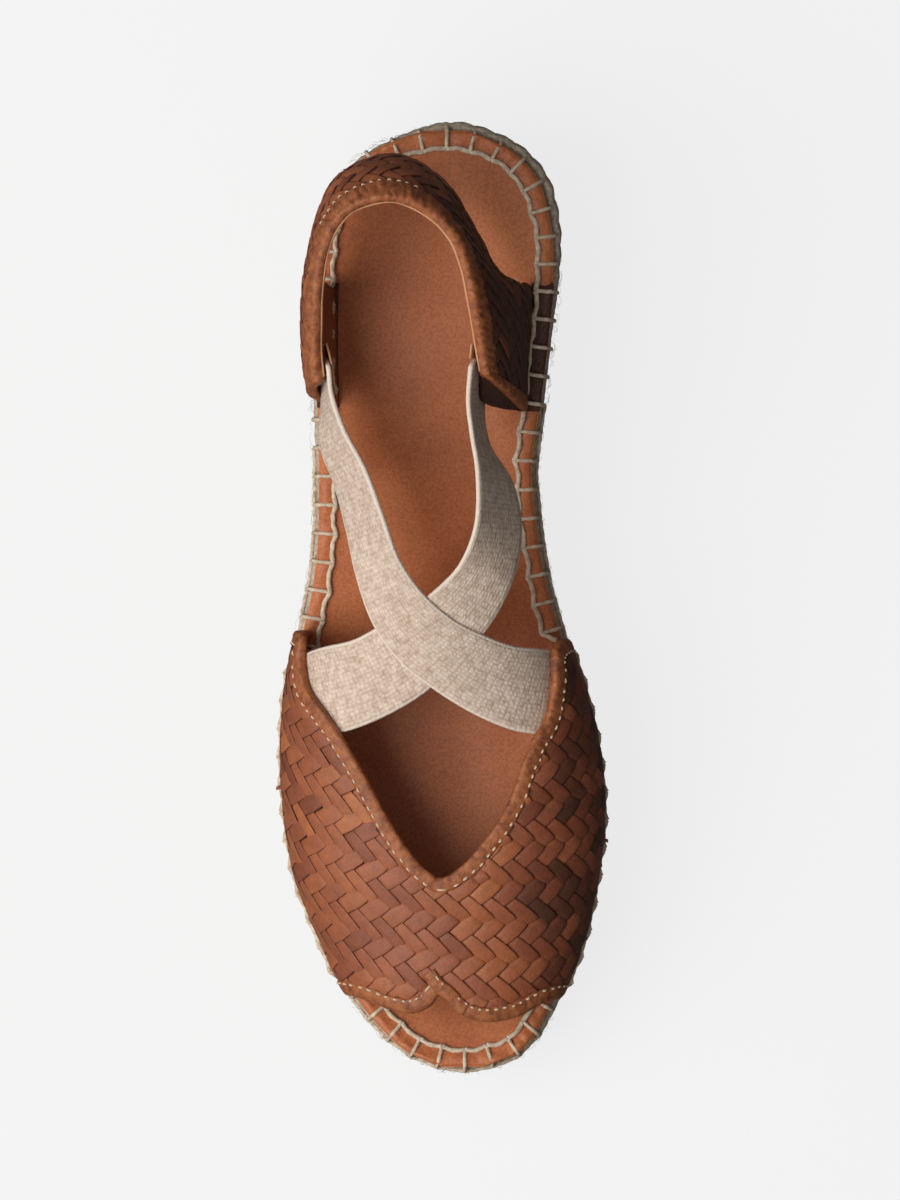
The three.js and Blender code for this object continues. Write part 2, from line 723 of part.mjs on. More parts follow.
function node(name, solid, surface) {
  const { numProp, vertProperties, triVerts } = solid.simplify(meshDetail).getMesh();
  const geometry = new THREE.BufferGeometry();
  const positions = new Float32Array((vertProperties.length / numProp) * 3);
  for (let i = 0; i < positions.length; i += 1) {
    positions[i] = vertProperties[Math.floor(i / 3) * numProp + (i % 3)];
  }
  geometry.setAttribute('position', new THREE.BufferAttribute(positions, 3));
  geometry.setIndex([...triVerts]);
  geometry.computeVertexNormals();
  const mesh = new THREE.Mesh(geometry, surface);
  mesh.name = name;
  return mesh;
}

const group = new THREE.Group();
group.add(
  node('rubber_outsole', outsole, rubber),
  node('jute_wedge', juteWedge, jute),
  node('insole', insole, insoleLeather),
  node('vamp', vamp, wovenLeather),
  node('heel_quarter', heelQuarter, wovenLeather),
  node('cross_straps', crossStraps, linenElastic),
);
export default group;
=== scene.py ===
import math
import bpy
import bmesh
import numpy as np
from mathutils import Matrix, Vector, noise


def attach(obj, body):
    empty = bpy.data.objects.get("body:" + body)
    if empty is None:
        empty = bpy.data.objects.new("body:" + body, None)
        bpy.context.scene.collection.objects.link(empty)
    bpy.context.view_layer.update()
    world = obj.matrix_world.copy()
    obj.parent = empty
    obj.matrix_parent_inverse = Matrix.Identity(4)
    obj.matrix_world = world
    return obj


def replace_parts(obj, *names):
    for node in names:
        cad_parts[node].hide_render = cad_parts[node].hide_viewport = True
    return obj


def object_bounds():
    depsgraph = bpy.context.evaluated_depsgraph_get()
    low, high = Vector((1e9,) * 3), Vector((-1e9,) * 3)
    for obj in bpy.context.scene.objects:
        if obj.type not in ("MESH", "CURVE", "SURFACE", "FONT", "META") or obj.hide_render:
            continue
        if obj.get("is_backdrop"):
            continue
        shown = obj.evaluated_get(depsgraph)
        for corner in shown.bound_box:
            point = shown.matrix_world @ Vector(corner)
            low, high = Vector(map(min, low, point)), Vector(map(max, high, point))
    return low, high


# Wedge espadrille, right foot. Shapes are worked out in millimetres, toe to -Y, inner side to +X,
# and brought to metres when a piece is added.

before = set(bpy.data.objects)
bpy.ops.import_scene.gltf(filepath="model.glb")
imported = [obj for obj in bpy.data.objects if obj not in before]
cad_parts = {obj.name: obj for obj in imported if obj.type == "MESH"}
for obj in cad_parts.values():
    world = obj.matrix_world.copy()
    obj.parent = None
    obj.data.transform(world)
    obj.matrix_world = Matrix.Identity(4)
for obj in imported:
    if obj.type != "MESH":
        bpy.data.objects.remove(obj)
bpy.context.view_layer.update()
scene = bpy.context.scene
mm = 0.001
dice = np.random.default_rng(11)
print("frame loaded")


# Small helpers

def linear(hexColour):
    parts = [int(hexColour[i:i + 2], 16) / 255 for i in (1, 3, 5)]
    return [c / 12.92 if c <= 0.04045 else ((c + 0.055) / 1.055) ** 2.4 for c in parts] + [1]


def addNode(tree, kind, settings=None, links=None):
    # a setting is a property or a socket of the node, or the stops of its colour ramp
    node = tree.nodes.new("ShaderNode" + kind)
    for key, value in (settings or {}).items():
        if key == "stops":
            elements = node.color_ramp.elements
            while len(elements) < len(value):
                elements.new(0.5)
            for element, (position, hexColour) in zip(elements, value):
                element.position = position
                element.color = linear(hexColour)
        elif isinstance(key, str) and hasattr(node, key):
            setattr(node, key, value)
        else:
            node.inputs[key].default_value = value
    for key, source in (links or {}).items():
        tree.links.new(source, node.inputs[key])
    return node


def newMaterial(name, settings):
    material = bpy.data.materials.new(name)
    material.use_nodes = True
    tree = material.node_tree
    shader = tree.nodes["Principled BSDF"]
    for key, value in settings.items():
        shader.inputs[key].default_value = value
    return material, tree, shader


def smoothstep(x, low, high):
    t = np.clip((np.asarray(x, float) - low) / (high - low), 0, 1)
    return t * t * (3 - 2 * t)


def spline(points, places, closed=False):
    # centripetal Catmull-Rom through the points, at places from 0 to 1
    points = np.asarray(points, float)
    count = len(points)
    along = np.asarray(places, float) * (count if closed else count - 1)
    i = np.floor(along).astype(int)
    if closed:
        weight = along - i
        a, b, c, d = (points[(i + k) % count] for k in (-1, 0, 1, 2))
    else:
        i = np.clip(i, 0, count - 2)
        weight = along - i
        padded = np.vstack([2 * points[0] - points[1], points, 2 * points[-1] - points[-2]])
        a, b, c, d = (padded[i + k] for k in range(4))
    spans = [np.maximum(np.linalg.norm(end - start, axis=-1), 1e-8)[..., None] ** 0.5
             for start, end in ((a, b), (b, c), (c, d))]
    startSlope = ((b - a) / spans[0] - (c - a) / (spans[0] + spans[1]) + (c - b) / spans[1]) * spans[1]
    endSlope = ((c - b) / spans[1] - (d - b) / (spans[1] + spans[2]) + (d - c) / spans[2]) * spans[1]
    t = weight[..., None]
    return (b + startSlope * t + (-3 * b + 3 * c - 2 * startSlope - endSlope) * t ** 2
            + (2 * b - 2 * c + startSlope + endSlope) * t ** 3)


def evenly(points, count):
    # the same line with its points an equal distance apart
    steps = np.linalg.norm(np.diff(points, axis=0), axis=1)
    length = np.concatenate([[0], np.cumsum(steps)])
    want = np.linspace(0, length[-1], count)
    return np.stack([np.interp(want, length, points[:, k]) for k in range(points.shape[1])], axis=1)


def lengthOf(points):
    return np.linalg.norm(np.diff(points, axis=0), axis=1).sum()


def unit(vectors):
    return vectors / np.linalg.norm(vectors, axis=-1)[..., None]


def gridOn(bm, places, wrap=False, uvs=None, tone=None, slot=0):
    # a grid of vertices moved onto places[row, column]; wrap joins the last column to the first
    rows, columns = places.shape[:2]
    uvLayer = bm.loops.layers.uv.verify() if uvs is not None else None
    toneLayer = None
    if tone is not None:
        toneLayer = bm.faces.layers.float.get("tone") or bm.faces.layers.float.new("tone")
    before = len(bm.faces)
    verts = bmesh.ops.create_grid(bm, x_segments=columns - 1, y_segments=rows - 1, size=1)["verts"]
    for vert, place in zip(verts, places.reshape(-1, 3)):
        vert.co = place
    faces = list(bm.faces)[before:]
    if uvs is not None:
        spot = {vert: uv for vert, uv in zip(verts, uvs.reshape(-1, 2))}
        for face in faces:
            for loop in face.loops:
                loop[uvLayer].uv = spot[loop.vert]
    for face in faces:
        face.material_index = slot
        if tone is not None:
            face[toneLayer] = tone
    if wrap:
        seam = [verts[r * columns + c] for r in range(rows) for c in (0, columns - 1)]
        bmesh.ops.remove_doubles(bm, verts=seam, dist=1e-4)
    return faces


def wrinkle(places, size):
    # smooth noise from -1 to 1 at every place, with folds of the given size
    values = [noise.noise(Vector(place) / size) for place in places.reshape(-1, 3)]
    return np.array(values).reshape(places.shape[:-1])


def capEnds(bm, faces):
    # the two open ends of a tube are closed
    ends = set(edge for face in faces if face.is_valid for edge in face.edges if edge.is_boundary)
    bmesh.ops.holes_fill(bm, edges=list(ends), sides=0)


def closeHoles(bm):
    # a face left on its own has nothing to close, and corners where two holes touch are parted,
    # so that each hole is filled on its own
    scraps = [face for face in bm.faces if all(edge.is_boundary for edge in face.edges)]
    bmesh.ops.delete(bm, geom=scraps, context="FACES")
    for vert in list(bm.verts):
        rim = [edge for edge in vert.link_edges if edge.is_boundary]
        if len(rim) > 2:
            bmesh.utils.vert_separate(vert, rim)
    # what the first operator leaves open, the second closes
    for fill, settings in ((bmesh.ops.holes_fill, {"sides": 0}), (bmesh.ops.edgeloop_fill, {})):
        edges = [edge for edge in bm.edges if edge.is_boundary]
        fill(bm, edges=edges, **settings)


def shellOn(bm, outer, inner):
    # two faces of a wall, joined all round their edges
    gridOn(bm, outer, slot=0)
    gridOn(bm, inner[:, ::-1], slot=1)
    lastRow, lastColumn = outer.shape[0] - 1, outer.shape[1] - 1
    way = ([(0, c) for c in range(lastColumn)] + [(r, lastColumn) for r in range(lastRow)]
           + [(lastRow, c) for c in range(lastColumn, 0, -1)] + [(r, 0) for r in range(lastRow, -1, -1)])
    rim = [(outer[spot], inner[spot]) for spot in way]
    gridOn(bm, np.array(rim).transpose(1, 0, 2), slot=1)
    bmesh.ops.remove_doubles(bm, verts=bm.verts, dist=1e-3)


def cordOn(bm, path, diameter, plies=3, turn=3.2, sides=9):
    # a laid cord along a path: a tube whose plies wind round it once every turn millimetres
    length = lengthOf(path)
    path = evenly(path, max(int(length / 0.55), 6))
    along = unit(np.gradient(path, axis=0))
    # a direction that no cord follows
    up = np.array([0.13, 0.21, 0.97])
    side = unit(np.cross(along, up))
    lift = np.cross(side, along)
    angle = np.linspace(0, 2 * math.pi, sides + 1)[None, :]
    run = np.linspace(0, length, len(path))[:, None]
    radius = diameter / 2 * (0.9 + 0.14 * np.cos(plies * angle - 2 * math.pi * run / turn * plies / 3))
    places = path[:, None] + (side[:, None] * (np.cos(angle) * radius)[..., None]
                              + lift[:, None] * (np.sin(angle) * radius)[..., None])
    capEnds(bm, gridOn(bm, places, wrap=True))


def addPiece(name, bm, materials):
    bmesh.ops.recalc_face_normals(bm, faces=bm.faces)
    bmesh.ops.scale(bm, vec=(mm, mm, mm), verts=bm.verts)
    mesh = bpy.data.meshes.new(name)
    bm.to_mesh(mesh)
    bm.free()
    for material in materials:
        mesh.materials.append(material)
    for polygon in mesh.polygons:
        polygon.use_smooth = True
    piece = bpy.data.objects.new(name, mesh)
    scene.collection.objects.link(piece)
    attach(piece, "root")
    return piece


# The shoe's own surfaces, the same as in the CAD

sole = {
    "forefootHeight": 20, "heelHeight": 55, "riseStart": -52, "riseEnd": 84,
    "springStart": -72, "toeSpring": 6, "outsoleThickness": 3, "insoleThickness": 2.5,
    "insoleInset": 1.7, "gap": 0.3, "ropeRows": 3,
    "toeTip": (4.9, -125.4), "heelTip": (1.6, 125.2),
    # y, outer side x, inner side x
    "rows": [
        (121, -15.5, 16), (117, -22, 21.8), (111, -27.8, 26.4), (104, -31.2, 28.6), (96, -33, 30),
        (84, -34, 30.2), (68, -34.3, 28.6), (51, -34, 26.6), (35, -33.6, 24.6), (15, -34, 26.4),
        (2, -35.6, 29), (-10, -38.3, 32.4), (-26, -41, 37.4), (-42, -41.8, 40.8), (-59, -40.7, 41.7),
        (-75, -37.7, 39.8), (-91, -31.2, 36.2), (-100, -27.4, 32.9), (-108, -22.6, 29.6),
        (-116, -15.6, 25.4), (-121, -9.4, 20.6),
    ],
}
# what the forefoot's height leaves for its rope rows, between the two gaps
ropeHeight = sole["forefootHeight"] - sole["insoleThickness"] - sole["outsoleThickness"] - 2 * sole["gap"]
ropePitch = ropeHeight / sole["ropeRows"]


def groundAt(y):
    t = (sole["springStart"] - np.asarray(y, float)) / (sole["springStart"] - sole["toeTip"][1])
    return sole["toeSpring"] * np.maximum(0, t) ** 2


def footbedAt(y):
    lift = sole["heelHeight"] - sole["forefootHeight"]
    return sole["forefootHeight"] + lift * smoothstep(y, sole["riseStart"], sole["riseEnd"]) + groundAt(y)


def ropeTopAt(y):
    return footbedAt(y) - sole["insoleThickness"] - sole["gap"]


outlinePoints = ([sole["heelTip"]] + [(outer, y) for y, outer, inner in sole["rows"]] + [sole["toeTip"]]
                 + [(inner, y) for y, outer, inner in reversed(sole["rows"])])
outline = spline(outlinePoints, np.linspace(0, 1, 4001), closed=True)[:-1]
outline = np.roll(outline, -int(outline[:, 1].argmax()), axis=0)
toePlace = int(outline[:, 1].argmin())
outerSide = outline[:toePlace + 1][::-1]
innerSide = np.vstack([outline[toePlace:], outline[:1]])
closedOutline = np.vstack([outline, outline[:1]])


def outerAt(y):
    return np.interp(y, outerSide[:, 1], outerSide[:, 0])


def innerAt(y):
    return np.interp(y, innerSide[:, 1], innerSide[:, 0])


def outlineRing(inset, count):
    # points round the sole, heel first and down the outer side, moved inwards by inset
    ring = evenly(closedOutline, count + 1)[:-1]
    along = unit(np.roll(ring, -2, axis=0) - np.roll(ring, 2, axis=0))
    inset = np.broadcast_to(np.asarray(inset, float), (count,))[:, None]
    return ring + np.stack([-along[:, 1], along[:, 0]], axis=1) * inset


vamp = {
    "wall": 2, "bulge": 1.2, "undercut": math.radians(20), "lean": 3,
    "heights": [(30, 42), (4, 41.5), (-9, 40.8), (-23, 39.5), (-40, 37.5), (-58, 34.5),
                (-74, 31), (-90, 26.5), (-106, 21.5), (-120, 17)],
    "throat": [(-52, -7.5), (-38.6, -8.5), (-38.2, -16), (-36.6, -23.4), (-33, -28.4), (-28.4, -34.6),
               (-22.6, -43.8), (-16.6, -54.6), (-12.4, -61.8), (-8.2, -67.8), (-4.4, -71.8), (-0.4, -73.9),
               (3.7, -71.9), (7.8, -68.2), (12, -63), (16, -57.4), (19.2, -50.8), (21.6, -44),
               (24.9, -36.8), (28, -31.6), (30.2, -22), (31.6, -11.4), (46, -10.4)],
    "toe": [(-40, -104.6), (-23, -105.6), (-14, -108.8), (-8, -109.6), (-3.4, -107.6), (-0.8, -104.8),
            (2.6, -108), (6.8, -110.8), (12, -111.9), (20, -110.6), (29, -106.4), (44, -105.6)],
}


def vampHeight(y):
    rows = np.array(sorted(vamp["heights"]), float)
    at, value = rows[:, 0], rows[:, 1]
    slopes = np.gradient(value, at)
    slopes[1:-1] = (value[2:] - value[:-2]) / (at[2:] - at[:-2])
    y = np.clip(y, at[0], at[-1])
    i = np.clip(np.searchsorted(at, y, side="right") - 1, 0, len(at) - 2)
    span = at[i + 1] - at[i]
    t = (y - at[i]) / span
    return ((2 * t ** 3 - 3 * t ** 2 + 1) * value[i] + (t ** 3 - 2 * t ** 2 + t) * slopes[i] * span
            + (3 * t ** 2 - 2 * t ** 3) * value[i + 1] + (t ** 3 - t ** 2) * slopes[i + 1] * span)


sectionAngles = np.linspace(-vamp["undercut"], math.pi + vamp["undercut"], 181)


def vampSection(y):
    # x, z and normal across the foot at y, with distances from the crest
    left, right = outerAt(y) - vamp["bulge"], innerAt(y) + vamp["bulge"]
    base = footbedAt(y) + sole["gap"]
    low = math.sin(vamp["undercut"])
    upper = np.maximum(np.sin(sectionAngles), 0)
    x = (left + right) / 2 - (right - left) / 2 * np.cos(sectionAngles) + vamp["lean"] * upper ** 2
    z = base + (vampHeight(y) + vamp["wall"]) * (np.sin(sectionAngles) + low) / (1 + low)
    dx, dz = np.gradient(x), np.gradient(z)
    length = np.hypot(dx, dz)
    steps = np.hypot(np.diff(x), np.diff(z))
    distance = np.concatenate([[0], np.cumsum(steps)])
    return x, z, -dz / length, dx / length, distance - distance[90]


vampStepY, vampStepS = 1.0, 0.75
vampY = np.arange(-126, 6.01, vampStepY)
vampS = np.arange(-84, 84.01, vampStepS)
vampTable = np.zeros((len(vampY), len(vampS), 4))
vampReach = np.zeros((len(vampY), 2))
for i, y in enumerate(vampY):
    x, z, nx, nz, distance = vampSection(y)
    vampReach[i] = distance[0], distance[-1]
    for k, column in enumerate((x, z, nx, nz)):
        vampTable[i, :, k] = np.interp(vampS, distance, column)


def reachAt(s, y):
    # distance over the vamp from its crest to its lasting edge, on the side that s lies on
    low = np.interp(y, vampY, vampReach[:, 0])
    high = np.interp(y, vampY, vampReach[:, 1])
    return np.where(np.asarray(s) < 0, -low, high)


def blend(table, r, c):
    # the table's value at a broken row and column
    i, j = np.floor(r).astype(int), np.floor(c).astype(int)
    fr, fc = (r - i)[..., None], (c - j)[..., None]
    return ((table[i, j] * (1 - fc) + table[i, j + 1] * fc) * (1 - fr)
            + (table[i + 1, j] * (1 - fc) + table[i + 1, j + 1] * fc) * fr)


def vampAt(s, y, lift=0):
    # place on the vamp at arc distance s from its crest, lifted outwards
    s, y, lift = np.broadcast_arrays(np.asarray(s, float), np.asarray(y, float), np.asarray(lift, float))
    r = np.clip((y - vampY[0]) / vampStepY, 0, len(vampY) - 1.001)
    c = np.clip((s - vampS[0]) / vampStepS, 0, len(vampS) - 1.001)
    value = blend(vampTable, r, c)
    x = value[..., 0] + value[..., 2] * lift
    z = np.maximum(value[..., 1] + value[..., 3] * lift, footbedAt(y) + sole["gap"])
    return np.stack([x, y, z], axis=-1)


def edgeOnVamp(rows):
    # an edge drawn in plan, as (s, y) over the vamp, out to the insole at both ends
    plan = evenly(spline(rows, np.linspace(0, 1, 900)), 700)
    found = []
    for x, y in plan:
        across, z, nx, nz, distance = vampSection(y)
        left, right = int(across.argmin()), int(across.argmax())
        if across[left] + 0.1 < x < across[right] - 0.1:
            found.append((np.interp(x, across[left:right + 1], distance[left:right + 1]), y))
    found = np.array(found)
    first = np.interp(found[0, 1], vampY, vampReach[:, 0]), found[0, 1]
    last = np.interp(found[-1, 1], vampY, vampReach[:, 1]), found[-1, 1]
    return evenly(np.vstack([first, found, last]), 420)


throatEdge = edgeOnVamp(vamp["throat"])
toeEdge = edgeOnVamp(vamp["toe"])
print("surfaces ready")


# Materials

def grainBump(tree, shader, size, strength, depth=0.1):
    # fine grain of the given size in millimetres as bump
    place = addNode(tree, "TexCoord").outputs["Object"]
    grain = addNode(tree, "TexNoise", {"Scale": 1000 / size, "Detail": 4, "Roughness": 0.6},
                    {"Vector": place})
    bump = addNode(tree, "Bump", {"Strength": strength, "Distance": depth * mm},
                   {"Height": grain.outputs["Fac"]})
    tree.links.new(bump.outputs["Normal"], shader.inputs["Normal"])
    return grain


def cloudColour(tree, size, detail, stops, roughness=0.5):
    # colours that drift over the leather or fibre in patches of the given size in millimetres
    place = addNode(tree, "TexCoord").outputs["Object"]
    cloud = addNode(tree, "TexNoise", {"Scale": 1000 / size, "Detail": detail, "Roughness": roughness},
                    {"Vector": place})
    return addNode(tree, "ValToRGB", {"stops": stops}, {"Fac": cloud.outputs["Fac"]}).outputs["Color"]


# Woven vegetable-tanned calf strips: each strip its own brown, darker down the inner sides as painted shade,
# each strip's raised edge darkened as painted shade, a soft waxed shine
wovenCalf, tree, shader = newMaterial("woven_calf_strips", {"Roughness": 0.5, "Specular IOR Level": 0.34})
tone = addNode(tree, "Attribute", {"attribute_name": "tone"})
browns = [(0, "#53301f"), (0.2, "#7a4029"), (0.45, "#995536"), (0.75, "#a86139"), (1, "#ba6e3b")]
coat = addNode(tree, "ValToRGB", {"stops": browns}, {"Fac": tone.outputs["Fac"]})
mottle = cloudColour(tree, 10 / 3, 6, [(0.32, "#b4b0ae"), (0.66, "#ffffff")], 0.65)
mottled = addNode(tree, "Mix", {"data_type": "RGBA", "blend_type": "MULTIPLY", 0: 0.5},
                  {6: coat.outputs["Color"], 7: mottle})
strip = addNode(tree, "SeparateXYZ", {}, {"Vector": addNode(tree, "TexCoord").outputs["UV"]})
# painted shade on the step where each strip's raised edge drops to its neighbour, in the colour #4a2416
raisedEdgeShade = addNode(tree, "ValToRGB", {"stops": [(0.47, "#000000"), (0.52, "#ffffff")]},
                  {"Fac": strip.outputs["Y"]})
raisedEdgeShaded = addNode(tree, "Mix", {"data_type": "RGBA", 7: linear("#4a2416")},
                    {0: raisedEdgeShade.outputs["Color"], 6: mottled.outputs[2]})
tree.links.new(raisedEdgeShaded.outputs[2], shader.inputs["Base Color"])
grainBump(tree, shader, 0.7, 0.5, 0.3)

# Back of the strips and the slits between them: dark brown split leather, its darkness painted shade for the
# slits
backingShadeCalf, tree, shader = newMaterial("calf_backing_painted_shade",
                                     {"Roughness": 0.8, "Base Color": linear("#3c1d12")})
grainBump(tree, shader, 1.2, 0.4, 0.3)

# Smooth calf lining, glazed, with a fine pore
liningCalf, tree, shader = newMaterial("smooth_calf_lining", {"Roughness": 0.45, "IOR": 1.5})
glazed = cloudColour(tree, 100 / 9, 4, [(0.3, "#84492e"), (0.7, "#9a5a38")])
tree.links.new(glazed, shader.inputs["Base Color"])
grainBump(tree, shader, 0.8, 0.2, 0.15)

# Folded binding: thin calf turned over the edge, orange-brown where the fold stretches it
foldedCalf, tree, shader = newMaterial("folded_calf_binding", {"Roughness": 0.52, "Specular IOR Level": 0.34})
stretched = cloudColour(tree, 1000 / 420, 6, [(0.34, "#6e3a25"), (0.5, "#93542f"), (0.68, "#ab683f")], 0.7)
tree.links.new(stretched, shader.inputs["Base Color"])
grainBump(tree, shader, 0.9, 0.6, 0.35)

# Insole: vegetable-tanned leather, buffed, with open pores
insoleLeather, tree, shader = newMaterial("buffed_insole_leather", {"Roughness": 0.5, "IOR": 1.45})
tanned = cloudColour(tree, 1000 / 45, 6, [(0.25, "#b3633a"), (0.75, "#c97949")], 0.6)
grain = grainBump(tree, shader, 0.7, 0.4, 0.2)
pores = addNode(tree, "ValToRGB", {"stops": [(0.34, "#c9c0bb"), (0.6, "#ffffff")]},
                {"Fac": grain.outputs["Fac"]})
buffed = addNode(tree, "Mix", {"data_type": "RGBA", "blend_type": "MULTIPLY", 0: 0.7},
                 {6: tanned, 7: pores.outputs["Color"]})
tree.links.new(buffed.outputs[2], shader.inputs["Base Color"])

# Waxed cotton cord, three plies laid up: matt, off-white, a little soiled
cottonCord, tree, shader = newMaterial("plied_cotton_cord", {"Roughness": 0.85})
soiled = cloudColour(tree, 10 / 7, 4, [(0.3, "#b0977d"), (0.7, "#e0ceb6")])
tree.links.new(soiled, shader.inputs["Base Color"])
grainBump(tree, shader, 0.3, 0.4, 0.15)

# Raw skived edge of the lining: pale undyed leather
rawEdge, tree, shader = newMaterial("skived_leather_edge",
                                    {"Roughness": 0.75, "Base Color": linear("#c28c66")})
grainBump(tree, shader, 0.5, 0.4, 0.15)

# Sewing thread of the bindings: pale, dull and waxed
sewingThread, tree, shader = newMaterial("waxed_linen_thread",
                                         {"Roughness": 0.7, "Base Color": linear("#cdb294")})
grainBump(tree, shader, 0.2, 0.3, 0.05)

# Plaited jute: coarse dry fibres, straw grey with darker and lighter strands
plaitedJute, tree, shader = newMaterial("plaited_jute", {"Roughness": 0.95, "Specular IOR Level": 0.2})
strands = cloudColour(tree, 10 / 9, 5, [(0.3, "#97897a"), (0.55, "#c9bcab"), (0.8, "#e8dfd2")], 0.7)
soiling = cloudColour(tree, 25 / 3, 3, [(0.3, "#b9aa95"), (0.7, "#f4ece0")])
jute = addNode(tree, "Mix", {"data_type": "RGBA", "blend_type": "MULTIPLY", 0: 0.5}, {6: strands, 7: soiling})
tree.links.new(jute.outputs[2], shader.inputs["Base Color"])
grainBump(tree, shader, 0.5, 0.8, 0.4)

# Linen-covered elastic: plain basket weave of dull thread, paler at its two bound edges
linenElastic, tree, shader = newMaterial("linen_elastic_webbing",
                                         {"Roughness": 0.9, "Specular IOR Level": 0.3})
lapped = addNode(tree, "TexCoord").outputs["UV"]
# one knot of the basket weave every 1.3 mm along the band and every 1.15 mm across it
knotPlace = addNode(tree, "Mapping", {"Scale": (1 / 1.3, 1 / 1.15, 1)}, {"Vector": lapped})
knots = addNode(tree, "TexVoronoi", {"Scale": 1, "Randomness": 0.35, "distance": "CHEBYCHEV"},
                {"Vector": knotPlace.outputs["Vector"]})
# painted shade: each knot darker towards its edges, in the dips between knots
knotsDipShade = addNode(tree, "ValToRGB", {"stops": [(0.2, "#e2cebd"), (0.75, "#bba28c")]},
                  {"Fac": knots.outputs["Distance"]})
slubs = cloudColour(tree, 1000 / 420, 6, [(0.36, "#bca998"), (0.62, "#ffffff")], 0.7)
threads = addNode(tree, "Mix", {"data_type": "RGBA", "blend_type": "MULTIPLY", 0: 0.6},
                  {6: knotsDipShade.outputs["Color"], 7: slubs})
# the UV runs across the band in millimetres, so its middle is at 11 and its bound edges are the last 0.7
lap = addNode(tree, "SeparateXYZ", {}, {"Vector": lapped})
middle = addNode(tree, "Math", {"operation": "SUBTRACT", 1: 11}, {0: lap.outputs["Y"]})
away = addNode(tree, "Math", {"operation": "ABSOLUTE"}, {0: middle.outputs["Value"]})
bound = addNode(tree, "MapRange", {"From Min": 10.3, "From Max": 10.7}, {"Value": away.outputs["Value"]})
edged = addNode(tree, "Mix", {"data_type": "RGBA", 7: linear("#dfcdbd")},
                {0: bound.outputs["Result"], 6: threads.outputs[2]})
tree.links.new(edged.outputs[2], shader.inputs["Base Color"])
bump = addNode(tree, "Bump", {"Strength": 0.9, "Distance": 0.3 * mm, "invert": True},
               {"Height": knots.outputs["Distance"]})
tree.links.new(bump.outputs["Normal"], shader.inputs["Normal"])

# Vulcanised crepe rubber: dull tan, faintly pebbled
crepeRubber, tree, shader = newMaterial("vulcanised_crepe_rubber", {"Roughness": 0.8})
pebbled = cloudColour(tree, 20 / 3, 5, [(0.3, "#765b41"), (0.7, "#927659")])
tree.links.new(pebbled, shader.inputs["Base Color"])
grainBump(tree, shader, 1.0, 0.5, 0.3)
print("materials ready")


# Rubber outsole and jute core: the CAD's own shapes

for name, material in (("rubber_outsole", crepeRubber), ("jute_wedge", plaitedJute)):
    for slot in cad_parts[name].material_slots:
        slot.material = material


# Rope rows

ropes = {
    "platformStations": 1500, "wedgeStations": 900, "wedgeRows": 8, "across": 9, "inset": 0.1,
    # pitch and relief of a strand, roundness of a row, how far it stands proud and how deep its back lies
    "plait": 6.4, "relief": 0.62, "round": 1.7, "proud": 0.28, "back": 3,
    # how far each platform row creeps out at the inner heel and toe, lowest row first
    "creep": (1.2, 2.1, 1.8),
}


def ropeRow(bm, ring, baseAt, closed, seed):
    # one row of plaited rope along a plan line: a bulging strip whose strands lean both ways from its middle
    count = len(ring)
    lengths = np.arange(count) * np.linalg.norm(ring[1] - ring[0])
    along = np.roll(ring, -1, axis=0) - np.roll(ring, 1, axis=0) if closed else np.gradient(ring, axis=0)
    along = unit(along)
    out = np.stack([along[:, 1], -along[:, 0]], axis=1)
    level = np.linspace(-1, 1, ropes["across"])
    bulge = np.sqrt(1 - (0.93 * level) ** 2)[None, :]
    wobble = 0.5 * np.sin(lengths / 17 + seed) + 0.3 * np.sin(lengths / 7.3 + 2 * seed)
    phase = lengths[:, None] / ropes["plait"] + wobble[:, None] * 0.15 - 0.7 * np.abs(level) + seed * 0.37
    strand = 0.5 + 0.5 * np.cos(2 * math.pi * phase)
    # the strands' relief fades towards the row's edges, and a groove runs along its middle
    depth = ropes["round"] * (bulge - 1) + ropes["relief"] * (strand ** 0.7 - 0.75) * (0.35 + 0.65 * bulge)
    depth = depth - 0.25 * np.exp(-(level / 0.16) ** 2)[None, :] + ropes["proud"]
    height = baseAt(ring[:, 1])[:, None] + ropePitch * (0.5 + 0.5 * level)[None, :]
    places = np.zeros((count, ropes["across"] + 3, 3))
    places[:, 1:-2, :2] = ring[:, None, :] + out[:, None, :] * depth[:, :, None]
    places[:, 1:-2, 2] = height
    for column, end in ((0, 1), (-2, -3)):
        places[:, column, :2] = ring - out * ropes["back"]
        places[:, column, 2] = places[:, end, 2]
    places[:, -1] = places[:, 0]
    if closed:
        places = np.concatenate([places, places[:1]])
    gridOn(bm, places, wrap=True)
    if closed:
        bmesh.ops.remove_doubles(bm, verts=[vert for vert in bm.verts if vert.is_boundary], dist=1e-4)
    else:
        closeHoles(bm)


def ropeInset(count, most):
    # the rope creeps out past the rim round the inner heel and along the inner toe
    ring = evenly(closedOutline, count + 1)[:-1]
    innerHalf = ring[:, 0] > (outerAt(ring[:, 1]) + innerAt(ring[:, 1])) / 2 - 6
    heelPart = smoothstep(ring[:, 1], 78, 104) * innerHalf
    toePart = smoothstep(-ring[:, 1], 62, 80) * (1 - smoothstep(-ring[:, 1], 104, 118)) * innerHalf
    push = np.convolve(np.tile(heelPart + 0.7 * toePart, 3), np.ones(61) / 61, mode="same")[count:2 * count]
    return ropes["inset"] - most * push


bm = bmesh.new()
for row in range(sole["ropeRows"]):
    inset = ropeInset(ropes["platformStations"], ropes["creep"][row])
    ropeRow(bm, outlineRing(inset, ropes["platformStations"]),
            lambda y: ropeTopAt(y) - ropePitch * (sole["ropeRows"] - row), True, row + 1)
addPiece("jute_platform_ropes", bm, [plaitedJute])

